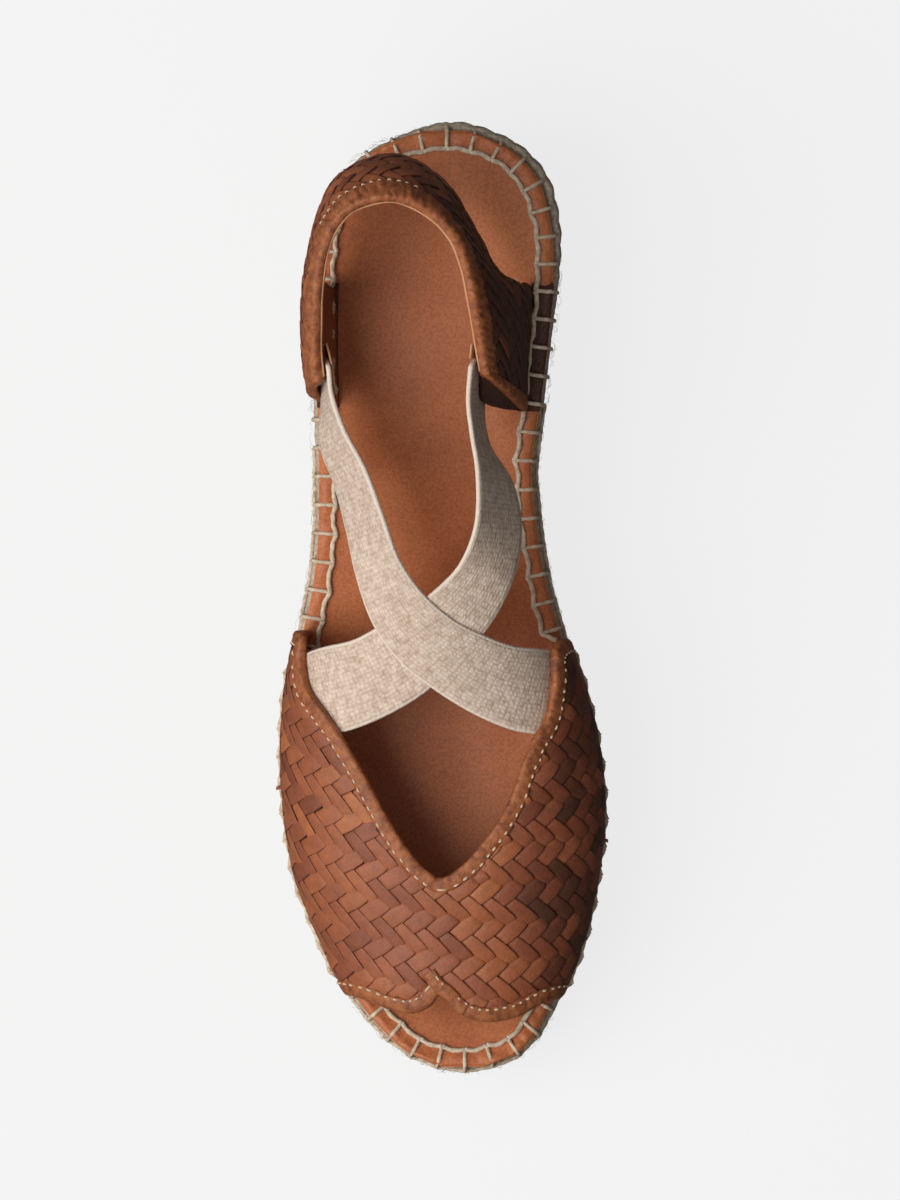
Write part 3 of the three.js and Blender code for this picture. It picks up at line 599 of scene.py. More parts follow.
bm = bmesh.new()
ring = outlineRing(ropes["inset"], ropes["wedgeStations"])
under = ropeTopAt(ring[:, 1]) - sole["ropeRows"] * ropePitch
for row in range(ropes["wedgeRows"]):
    # a level row runs where the platform leaves it 1.2 mm or more
    base = sole["outsoleThickness"] + sole["gap"] + row * ropePitch
    keep = np.nonzero(under > base + 1.2)[0]
    gapAt = np.nonzero(np.diff(keep) > 1)[0]
    if len(gapAt):
        keep = np.concatenate([keep[gapAt[0] + 1:], keep[:gapAt[0] + 1]])
    if len(keep) < 20:
        continue
    ropeRow(bm, ring[keep], lambda y: np.full(len(y), base), False, row + 5)
addPiece("jute_wedge_ropes", bm, [plaitedJute])

# loose fibres lifting off the top rope row
fuzz = {"count": 900, "stations": 2400, "radius": 0.07, "reach": (0.8, 1.9), "below": (0.5, 4.5)}

bm = bmesh.new()
ring = outlineRing(-0.3, fuzz["stations"])
angle = np.linspace(0, 2 * math.pi, 4)[:, None]
for k in dice.integers(0, len(ring), fuzz["count"]):
    place = ring[k]
    ahead = ring[(k + 5) % len(ring)] - place
    ahead = np.array([*unit(ahead), 0])
    away = np.array([ahead[1], -ahead[0], 0])
    start = np.array([*place, ropeTopAt(place[1]) - dice.uniform(*fuzz["below"])]) - away * 0.5
    bend = ahead * dice.normal(0, 1.6) + np.array([0, 0, dice.normal(0.1, 0.6)])
    reach = dice.uniform(*fuzz["reach"])
    t = np.linspace(0, 1, 5)[:, None]
    line = start + away * np.sin(2.2 * t) * reach + bend * t ** 1.5
    size = fuzz["radius"] * (1.1 - 0.7 * t)
    circle = away * np.cos(angle) + np.array([0, 0, 1]) * np.sin(angle)
    gridOn(bm, line[:, None] + circle * size[:, :, None], wrap=True)
closeHoles(bm)
addPiece("jute_loose_fibres", bm, [plaitedJute])
print("rope rows ready")


# Insole

insole = {
    "rows": 360, "columns": 64, "edgeOut": 0.9, "edgeRound": 0.6, "stitchPitch": 7.5,
    # height of the swellings between two ties, how far they lie from the edge and how wide they are
    "puff": 0.7, "puffAt": 2.3, "puffWide": 1.6,
    # depth of the trodden middle, and height and size of its soft waves
    "trodden": 0.35, "waves": 0.28, "waveSize": 13,
}
edgeInset = sole["insoleInset"] - insole["edgeOut"]
tipLow, tipHigh = outline[:, 1].min() + edgeInset, outline[:, 1].max() - edgeInset
ys = tipLow + (tipHigh - tipLow) * (0.5 - 0.5 * np.cos(math.pi * np.linspace(0.002, 0.998, insole["rows"])))
across = np.sin(np.linspace(-1, 1, insole["columns"]) * math.pi / 2)
y, across = np.meshgrid(ys, across, indexing="ij")
half = (innerAt(y) - outerAt(y)) / 2 - edgeInset
x = (innerAt(y) + outerAt(y)) / 2 + half * across
edge = np.minimum(half * (1 - np.abs(across)), np.minimum(y - tipLow, tipHigh - y))
# the rim swells between the ties of the blanket stitch, and the middle is trodden in with a few soft waves
coarse = outline[::8]
lap = np.arange(len(coarse)) * lengthOf(outline) / len(coarse)
tieCount = round(lap[-1] / insole["stitchPitch"])
near = ((x[..., None] - coarse[:, 0]) ** 2 + (y[..., None] - coarse[:, 1]) ** 2).argmin(axis=-1)
swell = np.abs(np.sin(math.pi * lap[near] / lap[-1] * tieCount)) ** 0.7
swell *= np.exp(-((edge - insole["puffAt"]) / insole["puffWide"]) ** 2)
waves = insole["waves"] * wrinkle(np.stack([x, y * 0.55, 0 * x], axis=-1), insole["waveSize"])
waves *= smoothstep(edge, 5, 12)
level = footbedAt(y) - insole["edgeRound"] * (1 - smoothstep(edge, 0, 1))
level -= insole["trodden"] * smoothstep(edge, 4, 20)
top = np.stack([x, y, level + insole["puff"] * swell + waves], axis=-1)
under = np.stack([x, y, footbedAt(y) - sole["insoleThickness"]], axis=-1)
bm = bmesh.new()
shellOn(bm, top, under)
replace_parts(addPiece("leather_insole", bm, [insoleLeather, insoleLeather]), "insole")
print("insole ready")


# Vamp: wall, woven strips, folded bindings

weave = {
    # distance between crossings, and on the vamp the place of the first row and of the rows' lowest point
    "across": 3.05, "along": 2.6, "firstRow": 22.5, "vertexAt": 15, "bend": 0.004, "lift": 0.3,
    # how near a folded edge a strip sinks and ends, and the spread of the strips' browns and places
    "sinkAt": 3.3, "endAt": 1.5, "toneSpread": 0.13, "jitter": 0.05,
    # place and height along a float in crossings, and across it in strip widths, tucked edge first
    "ends": [(-1.25, -0.8), (-1.0, -0.2), (-0.7, 0), (0, 0.04), (0.7, 0), (1.0, -0.2), (1.25, -0.8)],
    "sides": [(-0.62, -0.6), (-0.5, -0.08), (-0.2, 0.12), (0.12, 0.25), (0.38, 0.34), (0.5, 0.28), (0.54, 0),
              (0.545, -0.7)],
}


def limitAt(edge, a):
    # y of an open edge where a, from -1 to 1, says how far to the side of the crest
    edgeA = edge[:, 0] / reachAt(edge[:, 0], edge[:, 1])
    order = np.argsort(edgeA)
    return np.interp(a, edgeA[order], edge[order, 1])


def insideEdges(s, y, spare):
    # whether places on the vamp lie between its two open edges, spare millimetres clear of them
    a = s / reachAt(s, y)
    inside = np.ones(np.shape(s), bool)
    for edge, way in ((throatEdge, -1), (toeEdge, 1)):
        near = np.sqrt(((s[..., None] - edge[::2, 0]) ** 2 + (y[..., None] - edge[::2, 1]) ** 2).min(axis=-1))
        inside &= ((y - limitAt(edge, a)) * way > 0) & (near > spare)
    return inside


def vampWall():
    rows, columns = 70, 120
    a = np.linspace(-1, 1, columns)
    t = np.linspace(0, 1, rows)[:, None]
    y = limitAt(throatEdge, a) + (limitAt(toeEdge, a) - limitAt(throatEdge, a)) * t
    s = a * reachAt(np.broadcast_to(a, y.shape), y)
    # the outer face lies just under the strips, and the lasting edge is pressed into the insole
    faces = [vampAt(s, y, lift) for lift in (-0.12, -vamp["wall"])]
    for face in faces:
        face[:, [0, -1], 2] -= 0.9
    return faces


bm = bmesh.new()
shellOn(bm, *vampWall())
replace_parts(addPiece("vamp_wall", bm, [backingShadeCalf, liningCalf]), "vamp")

floatAlong, alongLift = np.array(weave["ends"]).T
floatAcross, acrossLift = np.array(weave["sides"]).T


def weaveFloats(bm, rowRange, columnRange, placeAt, keepAt, clearOf, shade, puff):
    # one pad for every float of the twill: two crossings long, one strip wide. keepAt says which floats are
    # made, clearOf what lies clear of the folded edges, shade how pale a float is, painted shade included,
    # and puff how far it bulges
    count, cutAway = 0, []
    for row in range(*rowRange):
        if row % 2:
            continue
        falling = row % 4 == 0
        for column in range(*columnRange):
            # crossings are where row and column add up to an even number
            first = column if falling else column + 1
            if (row + first) % 2:
                continue
            step = 1 if falling else -1
            middle = np.array([row + 0.5, first + 0.5 * step])
            alongWay, acrossWay = np.array([1, step]), np.array([-1, step])
            # the upper edge of a strip lies to the inner side of the foot, over the next strip
            a, b = np.meshgrid(floatAlong, floatAcross, indexing="ij")
            b = b * step * (1 - np.where(b > 0, 0.16, 0.04) * a ** 2)
            spot = middle + a[..., None] * alongWay + b[..., None] * acrossWay
            lift = weave["lift"] + (alongLift[:, None] + acrossLift[None, :]) * puff(*middle)
            # the float's brown: its own random tone about the painted shade that shade gives
            tone = float(np.clip(dice.normal(shade(*middle), weave["toneSpread"]), 0, 1))
            jitter = dice.normal(0, weave["jitter"], 2)
            if not keepAt(*middle):
                continue
            # under the folded edges the strips dive out of sight
            clear = clearOf(spot[..., 0], spot[..., 1], weave["sinkAt"])
            lift = np.where(clear, lift, np.minimum(lift, -0.4))
            places = placeAt(spot[..., 0] + jitter[0], spot[..., 1] + jitter[1], np.maximum(lift, -0.8))
            uv = np.stack(np.broadcast_arrays(floatAlong[:, None] * 4, floatAcross[None, :]), axis=-1)
            faces = gridOn(bm, places, uvs=uv, tone=tone)
            centre = (spot[:-1, :-1] + spot[1:, 1:]) / 2
            cut = ~clearOf(centre[..., 0], centre[..., 1], weave["endAt"]).ravel()
            cutAway += [face for face, away in zip(faces, cut) if away]
            count += 1
    bmesh.ops.delete(bm, geom=cutAway, context="FACES")
    return count


def vampLattice(row, column):
    s = column * weave["across"] + weave["vertexAt"]
    y = weave["firstRow"] - row * weave["along"] + weave["bend"] * (s - weave["vertexAt"]) ** 2
    return s, y


def vampKeep(row, column):
    # a float is made where any place within 5 mm of its middle lies between the open edges
    s, y = vampLattice(row, column)
    if not -121 < y < -3 or abs(s) > reachAt(s, y) + 2.2:
        return False
    around = np.array([(0, 0), (0, 5), (0, -5), (5, 0), (-5, 0),
                       (3.5, 3.5), (-3.5, 3.5), (3.5, -3.5), (-3.5, -3.5)])
    return bool(insideEdges(s + around[:, 0], y + around[:, 1], 0).any())


def vampClear(row, column, spare):
    return insideEdges(*vampLattice(row, column), spare)


def vampPaintedShade(row, column):
    # painted shade: darker down the inner side, which faces away from the light
    return 0.48 - 0.34 * float(smoothstep(vampLattice(row, column)[0], 4, 36))


def vampPuff(row, column):
    # flatter down the outer side
    return 0.5 + 0.6 * float(smoothstep(vampLattice(row, column)[0], -22, 16))


bm = bmesh.new()
count = weaveFloats(bm, (0, 66), (-30, 27), lambda row, column, lift: vampAt(*vampLattice(row, column), lift),
                    vampKeep, vampClear, vampPaintedShade, vampPuff)
print("vamp floats:", count)
closeHoles(bm)
addPiece("vamp_woven_strips", bm, [wovenCalf])

# section of a folded edge: distance in from the edge and height over the surface
bindingProfile = np.array([
    (3.75, -0.1), (3.62, 0.32), (3.1, 0.46), (1.9, 0.46), (0.8, 0.4), (0.1, 0.14), (-0.2, -0.3),
    (-0.28, -1.0), (-0.2, -1.8), (0.2, -2.3), (1.2, -2.5), (2.6, -2.45), (3.3, -2.3), (3.4, -1.9),
    (2.0, -1.0), (3.75, -0.1),
])


def bindingOn(bm, edge, way, placeAt, profile=bindingProfile, rough=0.34, size=1.2):
    # a folded, slightly wrinkled strip along an edge given in the surface's own two coordinates
    edge = evenly(edge, int(lengthOf(edge) / 0.55))
    along = unit(np.gradient(edge, axis=0))
    inward = np.stack([along[:, 1], -along[:, 0]], axis=1) * way
    spot = edge[:, None, :] + inward[:, None, :] * profile[None, :, :1]
    heights = np.broadcast_to(profile[:, 1] * 0.6, spot.shape[:2])
    flat = np.concatenate([spot, heights[..., None]], axis=-1)
    waves = rough * wrinkle(flat, size) * (profile[:, 1] > -1.2)
    waves[:, -1] = waves[:, 0]
    places = placeAt(spot[..., 0], spot[..., 1], profile[:, 1] + waves)
    capEnds(bm, gridOn(bm, places, wrap=True))


def stitchesOn(bm, edge, way, placeAt, inset=3.05, lift=0.4, pitch=2.65, long=1.6, thick=0.62):
    # a row of lockstitches along an edge: short thread bars whose two ends dive into the leather
    step = 0.2
    count = int(lengthOf(edge) / step)
    edge = evenly(edge, count)
    along = unit(np.gradient(edge, axis=0))
    inward = np.stack([along[:, 1], -along[:, 0]], axis=1) * way
    heights = lift + np.array([-0.35, 0.08, 0.16, 0.08, -0.35])
    size = thick / 2 * np.array([0.5, 0.95, 1, 0.95, 0.5])[:, None]
    angle = np.linspace(0, 2 * math.pi, 7)
    margin = at = 8.0
    while at + long / step < count - margin:
        part = np.linspace(at, at + long / step, 5).astype(int)
        spot = edge[part] + inward[part] * (inset + dice.normal(0, 0.08))
        middle = placeAt(spot[:, 0], spot[:, 1], heights)
        up = placeAt(spot[:, 0], spot[:, 1], heights + 1) - middle
        over = unit(np.cross(unit(np.gradient(middle, axis=0)), up))
        places = (middle[:, None] + over[:, None] * (np.cos(angle) * size)[..., None]
                  + up[:, None] * (np.sin(angle) * size)[..., None])
        capEnds(bm, gridOn(bm, places, wrap=True))
        at += pitch / step + dice.normal(0, 0.5)


for name, edge, way in (("throat_binding", throatEdge, 1), ("toe_binding", toeEdge, -1)):
    bm = bmesh.new()
    bindingOn(bm, edge, way, vampAt)
    addPiece(name, bm, [foldedCalf])

# the binding of the inner toe lobe starts on the outer lobe, above the notch between them
middle = np.nonzero((toeEdge[:, 0] > -16) & (toeEdge[:, 0] < 4))[0]
notch = middle[toeEdge[middle, 1].argmax()]
lead = [toeEdge[notch] + spot for spot in ((-3.9, 4.6), (-2.4, 2.6), (-1, 0.8))]
lobe = np.vstack(lead + [toeEdge[notch + 6:notch + 42:6]])
lobe = evenly(spline(lobe, np.linspace(0, 1, 120)), 120)


def overLobe(s, y, lift):
    # lifted over the other lobe at the notch, settling onto the toe edge after it
    return vampAt(s, y, lift + 0.75 * (1 - smoothstep(s, toeEdge[notch, 0], toeEdge[notch, 0] + 9)))


bm = bmesh.new()
bindingOn(bm, lobe, -1, overLobe)
addPiece("toe_lobe_binding", bm, [foldedCalf])

# loose ends of strips pulled out of the weave at the sides
bm = bmesh.new()
t = np.linspace(0, 1, 6)[:, None]
size = 0.9 - 0.45 * t
angle = np.linspace(0, 2 * math.pi, 9)
section = np.stack(np.broadcast_arrays(0 * angle, np.cos(angle) * size, np.sin(angle) * size * 0.45), axis=-1)
for x, y, side in ((-43.2, -50, -1), (43, -64, 1), (40.2, -77.6, 1), (41.4, -70.5, 1), (37.5, -90, 1)):
    start = np.array([x - side * 3.4, y + 1.5, footbedAt(y) + 9])
    line = start + np.array([side * 4.6, -1.8, -2.2]) * t + np.array([0, 0, 1.2]) * np.sin(3 * t)
    gridOn(bm, line[:, None] + section, wrap=True)
closeHoles(bm)
addPiece("vamp_strip_ends", bm, [foldedCalf])

bm = bmesh.new()
stitchesOn(bm, throatEdge, 1, vampAt)
stitchesOn(bm, lobe[:70], -1, overLobe)
stitchesOn(bm, toeEdge, -1, vampAt)
addPiece("vamp_stitches", bm, [sewingThread])
print("vamp ready")


# Heel quarter

quarter = {
    "stations": 240, "levels": 40,
    # outer face at its lower edge, half way and upper edge: x, y and lift over the insole
    "rows": [
        (-29.4, 52, 0.3, -35.2, 54, 17, -33.4, 57, 33), (-29.8, 62, 0.3, -36.4, 63, 18, -34, 65, 35),
        (-29.8, 73, 0.3, -36.8, 74, 19, -34, 75, 37.5), (-29.8, 82.6, 0.3, -36.2, 84.4, 21, -33.4, 85, 40),
        (-32.2, 86.4, 11.5, -35.4, 90.4, 25, -32.4, 91, 41.5), (-32.8, 99, 15, -32.8, 100, 29, -29.8, 98, 44),
        (-27.4, 111.4, 17.6, -27, 110, 32.4, -24.2, 103.6, 46.4),
        (-12.6, 117.2, 19, -13, 115, 34, -13.2, 106.2, 48),
        (0.2, 110.6, 17.6, -0.8, 108.4, 32.4, -3, 102.4, 46.4),
        (8.4, 98.2, 15, 6.6, 97.6, 29, 4.2, 95.2, 44), (15.6, 85.6, 11.5, 12.4, 87.4, 25, 7.2, 87, 41.5),
        (23.6, 82.6, 0.3, 17.2, 81.4, 21, 8.4, 80.6, 40), (23.2, 73, 0.3, 19, 73, 19, 9.6, 73, 37.5),
        (22.6, 62, 0.3, 19.2, 63, 18, 10.8, 66, 35), (22.2, 50, 0.3, 19.4, 53, 17, 12, 59, 33),
    ],
}
quarterLines = []
for k in range(0, 9, 3):
    quarterLines.append(np.array([(r[k], r[k + 1], footbedAt(r[k + 1]) + r[k + 2]) for r in quarter["rows"]]))
quarterT = np.linspace(0, 1, 2001)
quarterRun = spline(quarterLines[1], quarterT)
quarterRun = np.concatenate([[0], np.cumsum(np.linalg.norm(np.diff(quarterRun, axis=0), axis=1))])
quarterLength = quarterRun[-1]


def quarterSurface(p, h):
    # place at p along the quarter and h up it, a parabola through the three lines
    t = np.interp(p, quarterRun, quarterT)
    low, mid, top = (spline(line, t) for line in quarterLines)
    h = np.asarray(h, float)[..., None]
    return low * (2 * h * h - 3 * h + 1) + mid * (4 * h - 4 * h * h) + top * (2 * h * h - h)


quarterP = np.linspace(0, quarterLength, quarter["stations"] + 1)
pGrid, hGrid = np.meshgrid(quarterP, np.linspace(0, 1, quarter["levels"] + 1), indexing="ij")
quarterTable = quarterSurface(pGrid, hGrid)
alongQ, upQ = np.gradient(quarterTable, axis=0), np.gradient(quarterTable, axis=1)
normalQ = unit(np.cross(upQ, alongQ))
quarterTall = np.linalg.norm(np.diff(quarterTable, axis=1), axis=-1).sum(axis=1)


def tallAt(p):
    return np.interp(p, quarterP, quarterTall)


def quarterAt(p, w, lift=0):
    # place on the heel quarter at p along it and w down from its upper edge
    p, w, lift = np.broadcast_arrays(np.asarray(p, float), np.asarray(w, float), np.asarray(lift, float))
    station, level = p / quarterLength * quarter["stations"], (1 - w / tallAt(p)) * quarter["levels"]
    r = np.clip(station, 0, quarter["stations"] - 0.001)
    c = np.clip(level, 0, quarter["levels"] - 0.001)
    place = blend(quarterTable, r, c)
    # past its edges the surface goes on straight
    over, past = level - c, station - r
    place = place + blend(upQ, r, c) * np.where(np.abs(over) > 0.01, over, 0)[..., None]
    place = place + blend(alongQ, r, c) * np.where(np.abs(past) > 0.01, past, 0)[..., None]
    place = place + blend(normalQ, r, c) * lift[..., None]
    place[..., 2] = np.maximum(place[..., 2], footbedAt(place[..., 1]) + sole["gap"])
    return place


bm = bmesh.new()
pGrid, hGrid = np.meshgrid(np.linspace(0, quarterLength, 130), np.linspace(0, 1, 26), indexing="ij")
faces = [quarterAt(pGrid, hGrid * tallAt(pGrid), lift) for lift in (-0.3, -2)]
for face in faces:
    # where it meets the insole it is pressed into it
    face[..., 2] -= 0.8 * (face[..., 2] < footbedAt(face[..., 1]) + 0.8)
shellOn(bm, *faces)
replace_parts(addPiece("heel_quarter_wall", bm, [backingShadeCalf, liningCalf]), "heel_quarter")


def quarterLattice(row, column):
    return column * weave["across"], row * weave["along"]


def quarterKeep(row, column):
    p, w = quarterLattice(row, column)
    return -3 < p < quarterLength + 3 and -2 < w < tallAt(p) + 2


def quarterClear(row, column, spare):
    p, w = quarterLattice(row, column)
    return (p > spare) & (p < quarterLength - spare) & (w > spare * 1.6) & (w < tallAt(p) - 0.6)


def quarterPaintedShade(row, column):
    # painted shade: darker on the inner half, which faces away from the light
    return 0.45 - 0.6 * float(smoothstep(column * weave["across"], 78, 104))


bm = bmesh.new()
count = weaveFloats(bm, (-2, 20), (-2, int(quarterLength / weave["across"]) + 2),
                    lambda row, column, lift: quarterAt(*quarterLattice(row, column), lift),
                    quarterKeep, quarterClear, quarterPaintedShade, lambda row, column: 1.1)
print("quarter floats:", count)
closeHoles(bm)
addPiece("quarter_woven_strips", bm, [wovenCalf])

# the fold over the top is wide and crumpled, those down the two front ends are narrow
steps = np.linspace(0, 1, 200)
topEdge = np.stack([steps * quarterLength, steps * 0], axis=1)
outerFront = np.stack([steps * 0, (1 - steps) * tallAt(0)], axis=1)[::-1]
innerFront = np.stack([0 * steps + quarterLength, steps * tallAt(quarterLength)], axis=1)
bm = bmesh.new()
bindingOn(bm, topEdge, -1, quarterAt, bindingProfile * (1.6, 1.15), 0.75, 1.5)
bindingOn(bm, outerFront, 1, quarterAt, bindingProfile * 0.92)
bindingOn(bm, innerFront, -1, quarterAt, bindingProfile * 0.92)
addPiece("quarter_top_binding", bm, [foldedCalf])
bm = bmesh.new()
stitchesOn(bm, topEdge[60:112], -1, quarterAt, inset=5.3, lift=0.6, thick=0.45)
addPiece("quarter_stitches", bm, [sewingThread])

# the raw edge of the lining shows as a thin pale line inside the folded band
bm = bmesh.new()
liningEdge = quarterAt(topEdge[2:-2, 0], 0.15, -2.35)
cordOn(bm, liningEdge, 1.0, plies=2, turn=9)
addPiece("quarter_lining_edge", bm, [rawEdge])

# the two sides of the quarter are turned out on the insole as a flat flange under the blanket stitch
bm = bmesh.new()
for side, low, high in ((-1, 51, 84), (1, 50, 84)):
    y, inset = np.meshgrid(np.linspace(low, high, 110), np.linspace(0.7, 6.6, 16), indexing="ij")
    rim = outerAt(y) if side < 0 else innerAt(y)
    shape = np.sqrt(np.maximum(1 - ((inset - 3.65) / 3.1) ** 4, 0))
    ends = smoothstep(y, low, low + 1.5) * (1 - smoothstep(y, high - 1.5, high))
    plait = np.abs(np.sin(math.pi * (y / 3.1 + inset / 4))) * np.abs(np.sin(math.pi * inset / 2.9))
    top = footbedAt(y) + 0.15 + shape * ends * (0.95 + 0.55 * plait)
    shellOn(bm, np.stack([rim - side * inset, y, top], axis=-1),
            np.stack([rim - side * inset, y, footbedAt(y) - 0.2], axis=-1))
addPiece("quarter_flanges", bm, [wovenCalf, wovenCalf])
print("heel quarter ready")


# Crossed elastic bands

bands = {
    "width": 22, "thickness": 1.2, "steps": 150, "across": 15, "bead": 0.35,
    # where they cross, and how far under the vamp's outer face they are sewn in
    "crossing": (-2.5, -12), "under": 3.1,
    # low edge x, y, high edge x, y, height of the middle
    "outer": [(-32, 67.6, -31.6, 67.6, 75), (-31.6, 61, -30, 61.4, 75), (-31.7, 52, -29.2, 54.4, 74.2),
              (-32.2, 41.6, -26, 45, 73.4), (-28.2, 30.4, -20.4, 34.4, 72.6), (-25, 18, -15.6, 21.6, 71.8),
              (-22.4, 5.8, -11.4, 10.4, 71), (-18, -6.6, -4.6, 0.8, 70), (-10.6, -16.8, 3.6, -6, 68.6),
              (-1.6, -23.8, 11.4, -9.8, 66), (8.6, -30, 18.4, -12.4, 61.6), (18, -34, 25, -13.2, 56.4),
              (26, -35.4, 29.4, -13.8, 49), (30.8, -35.8, 31.8, -14.4, 41)],
    "inner": [(15, 68, 8, 67.4, 77), (14, 62, 7.4, 61.6, 76), (10.8, 52, 6.8, 52, 75),
              (12.2, 41, 7.8, 43.4, 74), (18.2, 31, 9.2, 33.6, 73), (20.6, 18.8, 8.8, 19.8, 72),
              (19, 7.4, 4.8, 9.6, 71),
              (13.6, -4.6, -0.8, 3.4, 69.4), (4.6, -15.6, -7.6, -1.8, 67.4), (-5, -24.4, -15.4, -6.4, 64.6),
              (-15, -30.4, -23, -10.6, 60), (-25, -34.4, -31, -12.6, 52.6), (-31, -35, -34.2, -13.6, 45),
              (-34.4, -35.4, -36, -14.4, 37.5)],
}


def domeHeight(x, y, lift):
    # height of the vamp's surface over x, y, without the part that tucks in under its widest line
    across, z, nx, nz, distance = vampSection(y)
    part = slice(18, 163)
    return float(np.interp(x, (across + nx * lift)[part], (z + nz * lift)[part]))


def bandMiddle(rows, beneath):
    # the band's middle sheet from its two edge lines, the given depth lower where it crosses the other
    rows = np.array(rows, float)
    plan = np.hypot(rows[:, 2] - rows[:, 0], rows[:, 3] - rows[:, 1])
    rise = np.sqrt(np.maximum(bands["width"] ** 2 - plan ** 2, 0)) / 2
    t = np.linspace(0, 1, bands["steps"])
    low = spline(np.column_stack([rows[:, 0], rows[:, 1], rows[:, 4] - rise]), t)
    high = spline(np.column_stack([rows[:, 2], rows[:, 3], rows[:, 4] + rise]), t)
    k = np.linspace(0, 1, bands["across"])[None, :, None]
    middle = low[:, None] * (1 - k) + high[:, None] * k
    # inside the quarter's pocket the band's upper edge dips down out of sight
    dip = 0.25 + 0.75 * smoothstep(t, 0.005, 0.08)[:, None, None]
    middle = middle[:, :1] + (middle - middle[:, :1]) * dip
    away = np.hypot(middle[..., 0] - bands["crossing"][0], middle[..., 1] - bands["crossing"][1])
    sink = beneath * (1 - smoothstep(away, 17, 27))
    dome = np.array([[domeHeight(x, y, -bands["under"]) for x, y, z in line] for line in middle]) - sink
    ease = smoothstep(middle[..., 1], 2, 24)
    middle[..., 2] = dome * (1 - ease) + middle[..., 2] * ease
    return middle


def addBand(name, rows, beneath):
    middle = bandMiddle(rows, beneath)
    over = unit(np.gradient(middle, axis=1))
    normal = unit(np.cross(np.gradient(middle, axis=0), over))
    half = bands["thickness"] / 2
    top, bottom = middle + normal * half, middle - normal * half
    highEdge = middle[:, -1:] + over[:, -1:] * bands["bead"]
    lowEdge = middle[:, :1] - over[:, :1] * bands["bead"]
    ring = np.concatenate([top, highEdge, bottom[:, ::-1], lowEdge, top[:, :1]], axis=1)
    run = np.concatenate([[0], np.cumsum(np.linalg.norm(np.diff(middle[:, 7], axis=0), axis=1))])
    reach = np.linspace(0, bands["width"], bands["across"])
    lap = np.concatenate([reach, [bands["width"] + 0.6], reach[::-1], [-0.6, 0]])
    uv = np.stack(np.broadcast_arrays(run[:, None], lap[None, :]), axis=-1)
    bm = bmesh.new()
    gridOn(bm, ring, wrap=True, uvs=uv)
    closeHoles(bm)
    return addPiece(name, bm, [linenElastic])


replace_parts(addBand("outer_elastic_band", bands["outer"], 0), "cross_straps")
addBand("inner_elastic_band", bands["inner"], 1.0)

# the lining's front ends close over the inner face of each band where it is sewn in
bm = bmesh.new()
t = np.linspace(0, 0.4, 200)
k = np.linspace(-0.06, 0.94, 12)[None, :, None]
droop = smoothstep(np.arange(24), 17, 23)[:, None, None] * np.array([0, 0, -1.0])
for rows, side, front, off in ((bands["outer"], 1, 54.5, 1.35), (bands["inner"], -1, 63.5, 1.0)):
    rows = np.array(rows, float)
    low, high = spline(rows[:, :2], t), spline(rows[:, 2:4], t)
    part = np.nonzero(high[:, 1] > front)[0]
    part = part[np.linspace(0, len(part) - 1, 24).astype(int)]
    middle = spline(rows[:, 4:], t)[part]
    rise = np.sqrt(np.maximum(bands["width"] ** 2 - ((high - low)[part] ** 2).sum(axis=1), 0))[:, None] / 2
    base = np.concatenate([low[part], middle - rise], axis=1)[:, None]
    crest = np.concatenate([high[part], middle + rise], axis=1)[:, None]
    sheet = base * (1 - k) + crest * k + droop
    inward = np.array([side, 0, -0.1])
    shellOn(bm, sheet + inward * off, sheet + inward * (off - 0.5))
addPiece("quarter_lining_fronts", bm, [liningCalf, rawEdge])

# the inner front end of the quarter curls forward and in, down to the insole
bm = bmesh.new()
h = np.linspace(0.02, 0.97, 40)
back = quarterAt(quarterLength - 2.5 + 0 * h, (1 - h) * tallAt(quarterLength), -1.2)
curl = np.array([(22.4, 50), (19.4, 50.3), (15, 50.8), (10.6, 52.6), (11.2, 59.6)], float)
front = np.column_stack([spline(curl, h), footbedAt(spline(curl, h)[:, 1]) + 0.5 + 31 * h])
k = np.linspace(0, 1, 14)[None, :, None]
sheet = back[:, None] * (1 - k) + front[:, None] * k
ridges = 0.3 * np.abs(np.sin(math.pi * (np.arange(40)[:, None] / 3.2 + np.arange(14)[None, :] / 4)))
lifted = sheet + np.stack([ridges * 0.6, -ridges * 0.5, ridges * 0.5], axis=-1)
shellOn(bm, lifted, sheet + np.array([-1.0, 0.6, -0.9]))
addPiece("quarter_front_curl", bm, [wovenCalf, backingShadeCalf])
print("bands ready")


# Blanket stitch round the upper edge of the sole

stitch = {
    "cord": 1.45, "tie": 1.15, "inset": 5.3, "longest": 16,
    # stretches of y where a tie climbs the vamp or the quarter's flange, and where the outer cord ends
    "vamp": (-102.8, -11.8), "flange": (50.5, 84), "heel": 45,
    # points of a tie: distance in from the rim and height over the insole, or climb on the vamp's wall
    "climb": (7, 4.5, 2.2), "underVamp": [(0.35, -0.4), (-0.3, -2.8), (-0.4, -4.6)],
    "overRim": [(3.9, 0.15), (2.5, 0.1), (1.3, -0.3)], "downRope": [(0.4, -0.9), (-0.25, -3)],
    "bareLift": 0.45, "flangeLift": 2.3, "end": (-0.4, -4.6), "heelEnd": (-0.4, -7.2),
}


def tiePath(place, inward, side, drift):
    # from the inner cord over the rim to the outer cord
    y = place[1]
    if stitch["vamp"][0] < y < stitch["vamp"][1]:
        path = [vampAt(side * (reachAt(side, y) - climb), y, 1.0) for climb in stitch["climb"]]
        path += [[*(place + inward * inset), footbedAt(y) + height] for inset, height in stitch["underVamp"]]
        return np.array(path, float)
    lift = stitch["flangeLift"] if stitch["flange"][0] < y < stitch["flange"][1] else stitch["bareLift"]
    rows = [(stitch["inset"] + drift, lift)] + [(inset, lift + height) for inset, height in stitch["overRim"]]
    rows += stitch["downRope"] + [stitch["heelEnd"] if y > stitch["heel"] else stitch["end"]]
    path = []
    for inset, height in rows:
        spot = place + inward * inset
        path.append([*spot, footbedAt(spot[1]) + height])
    return np.array(path, float)


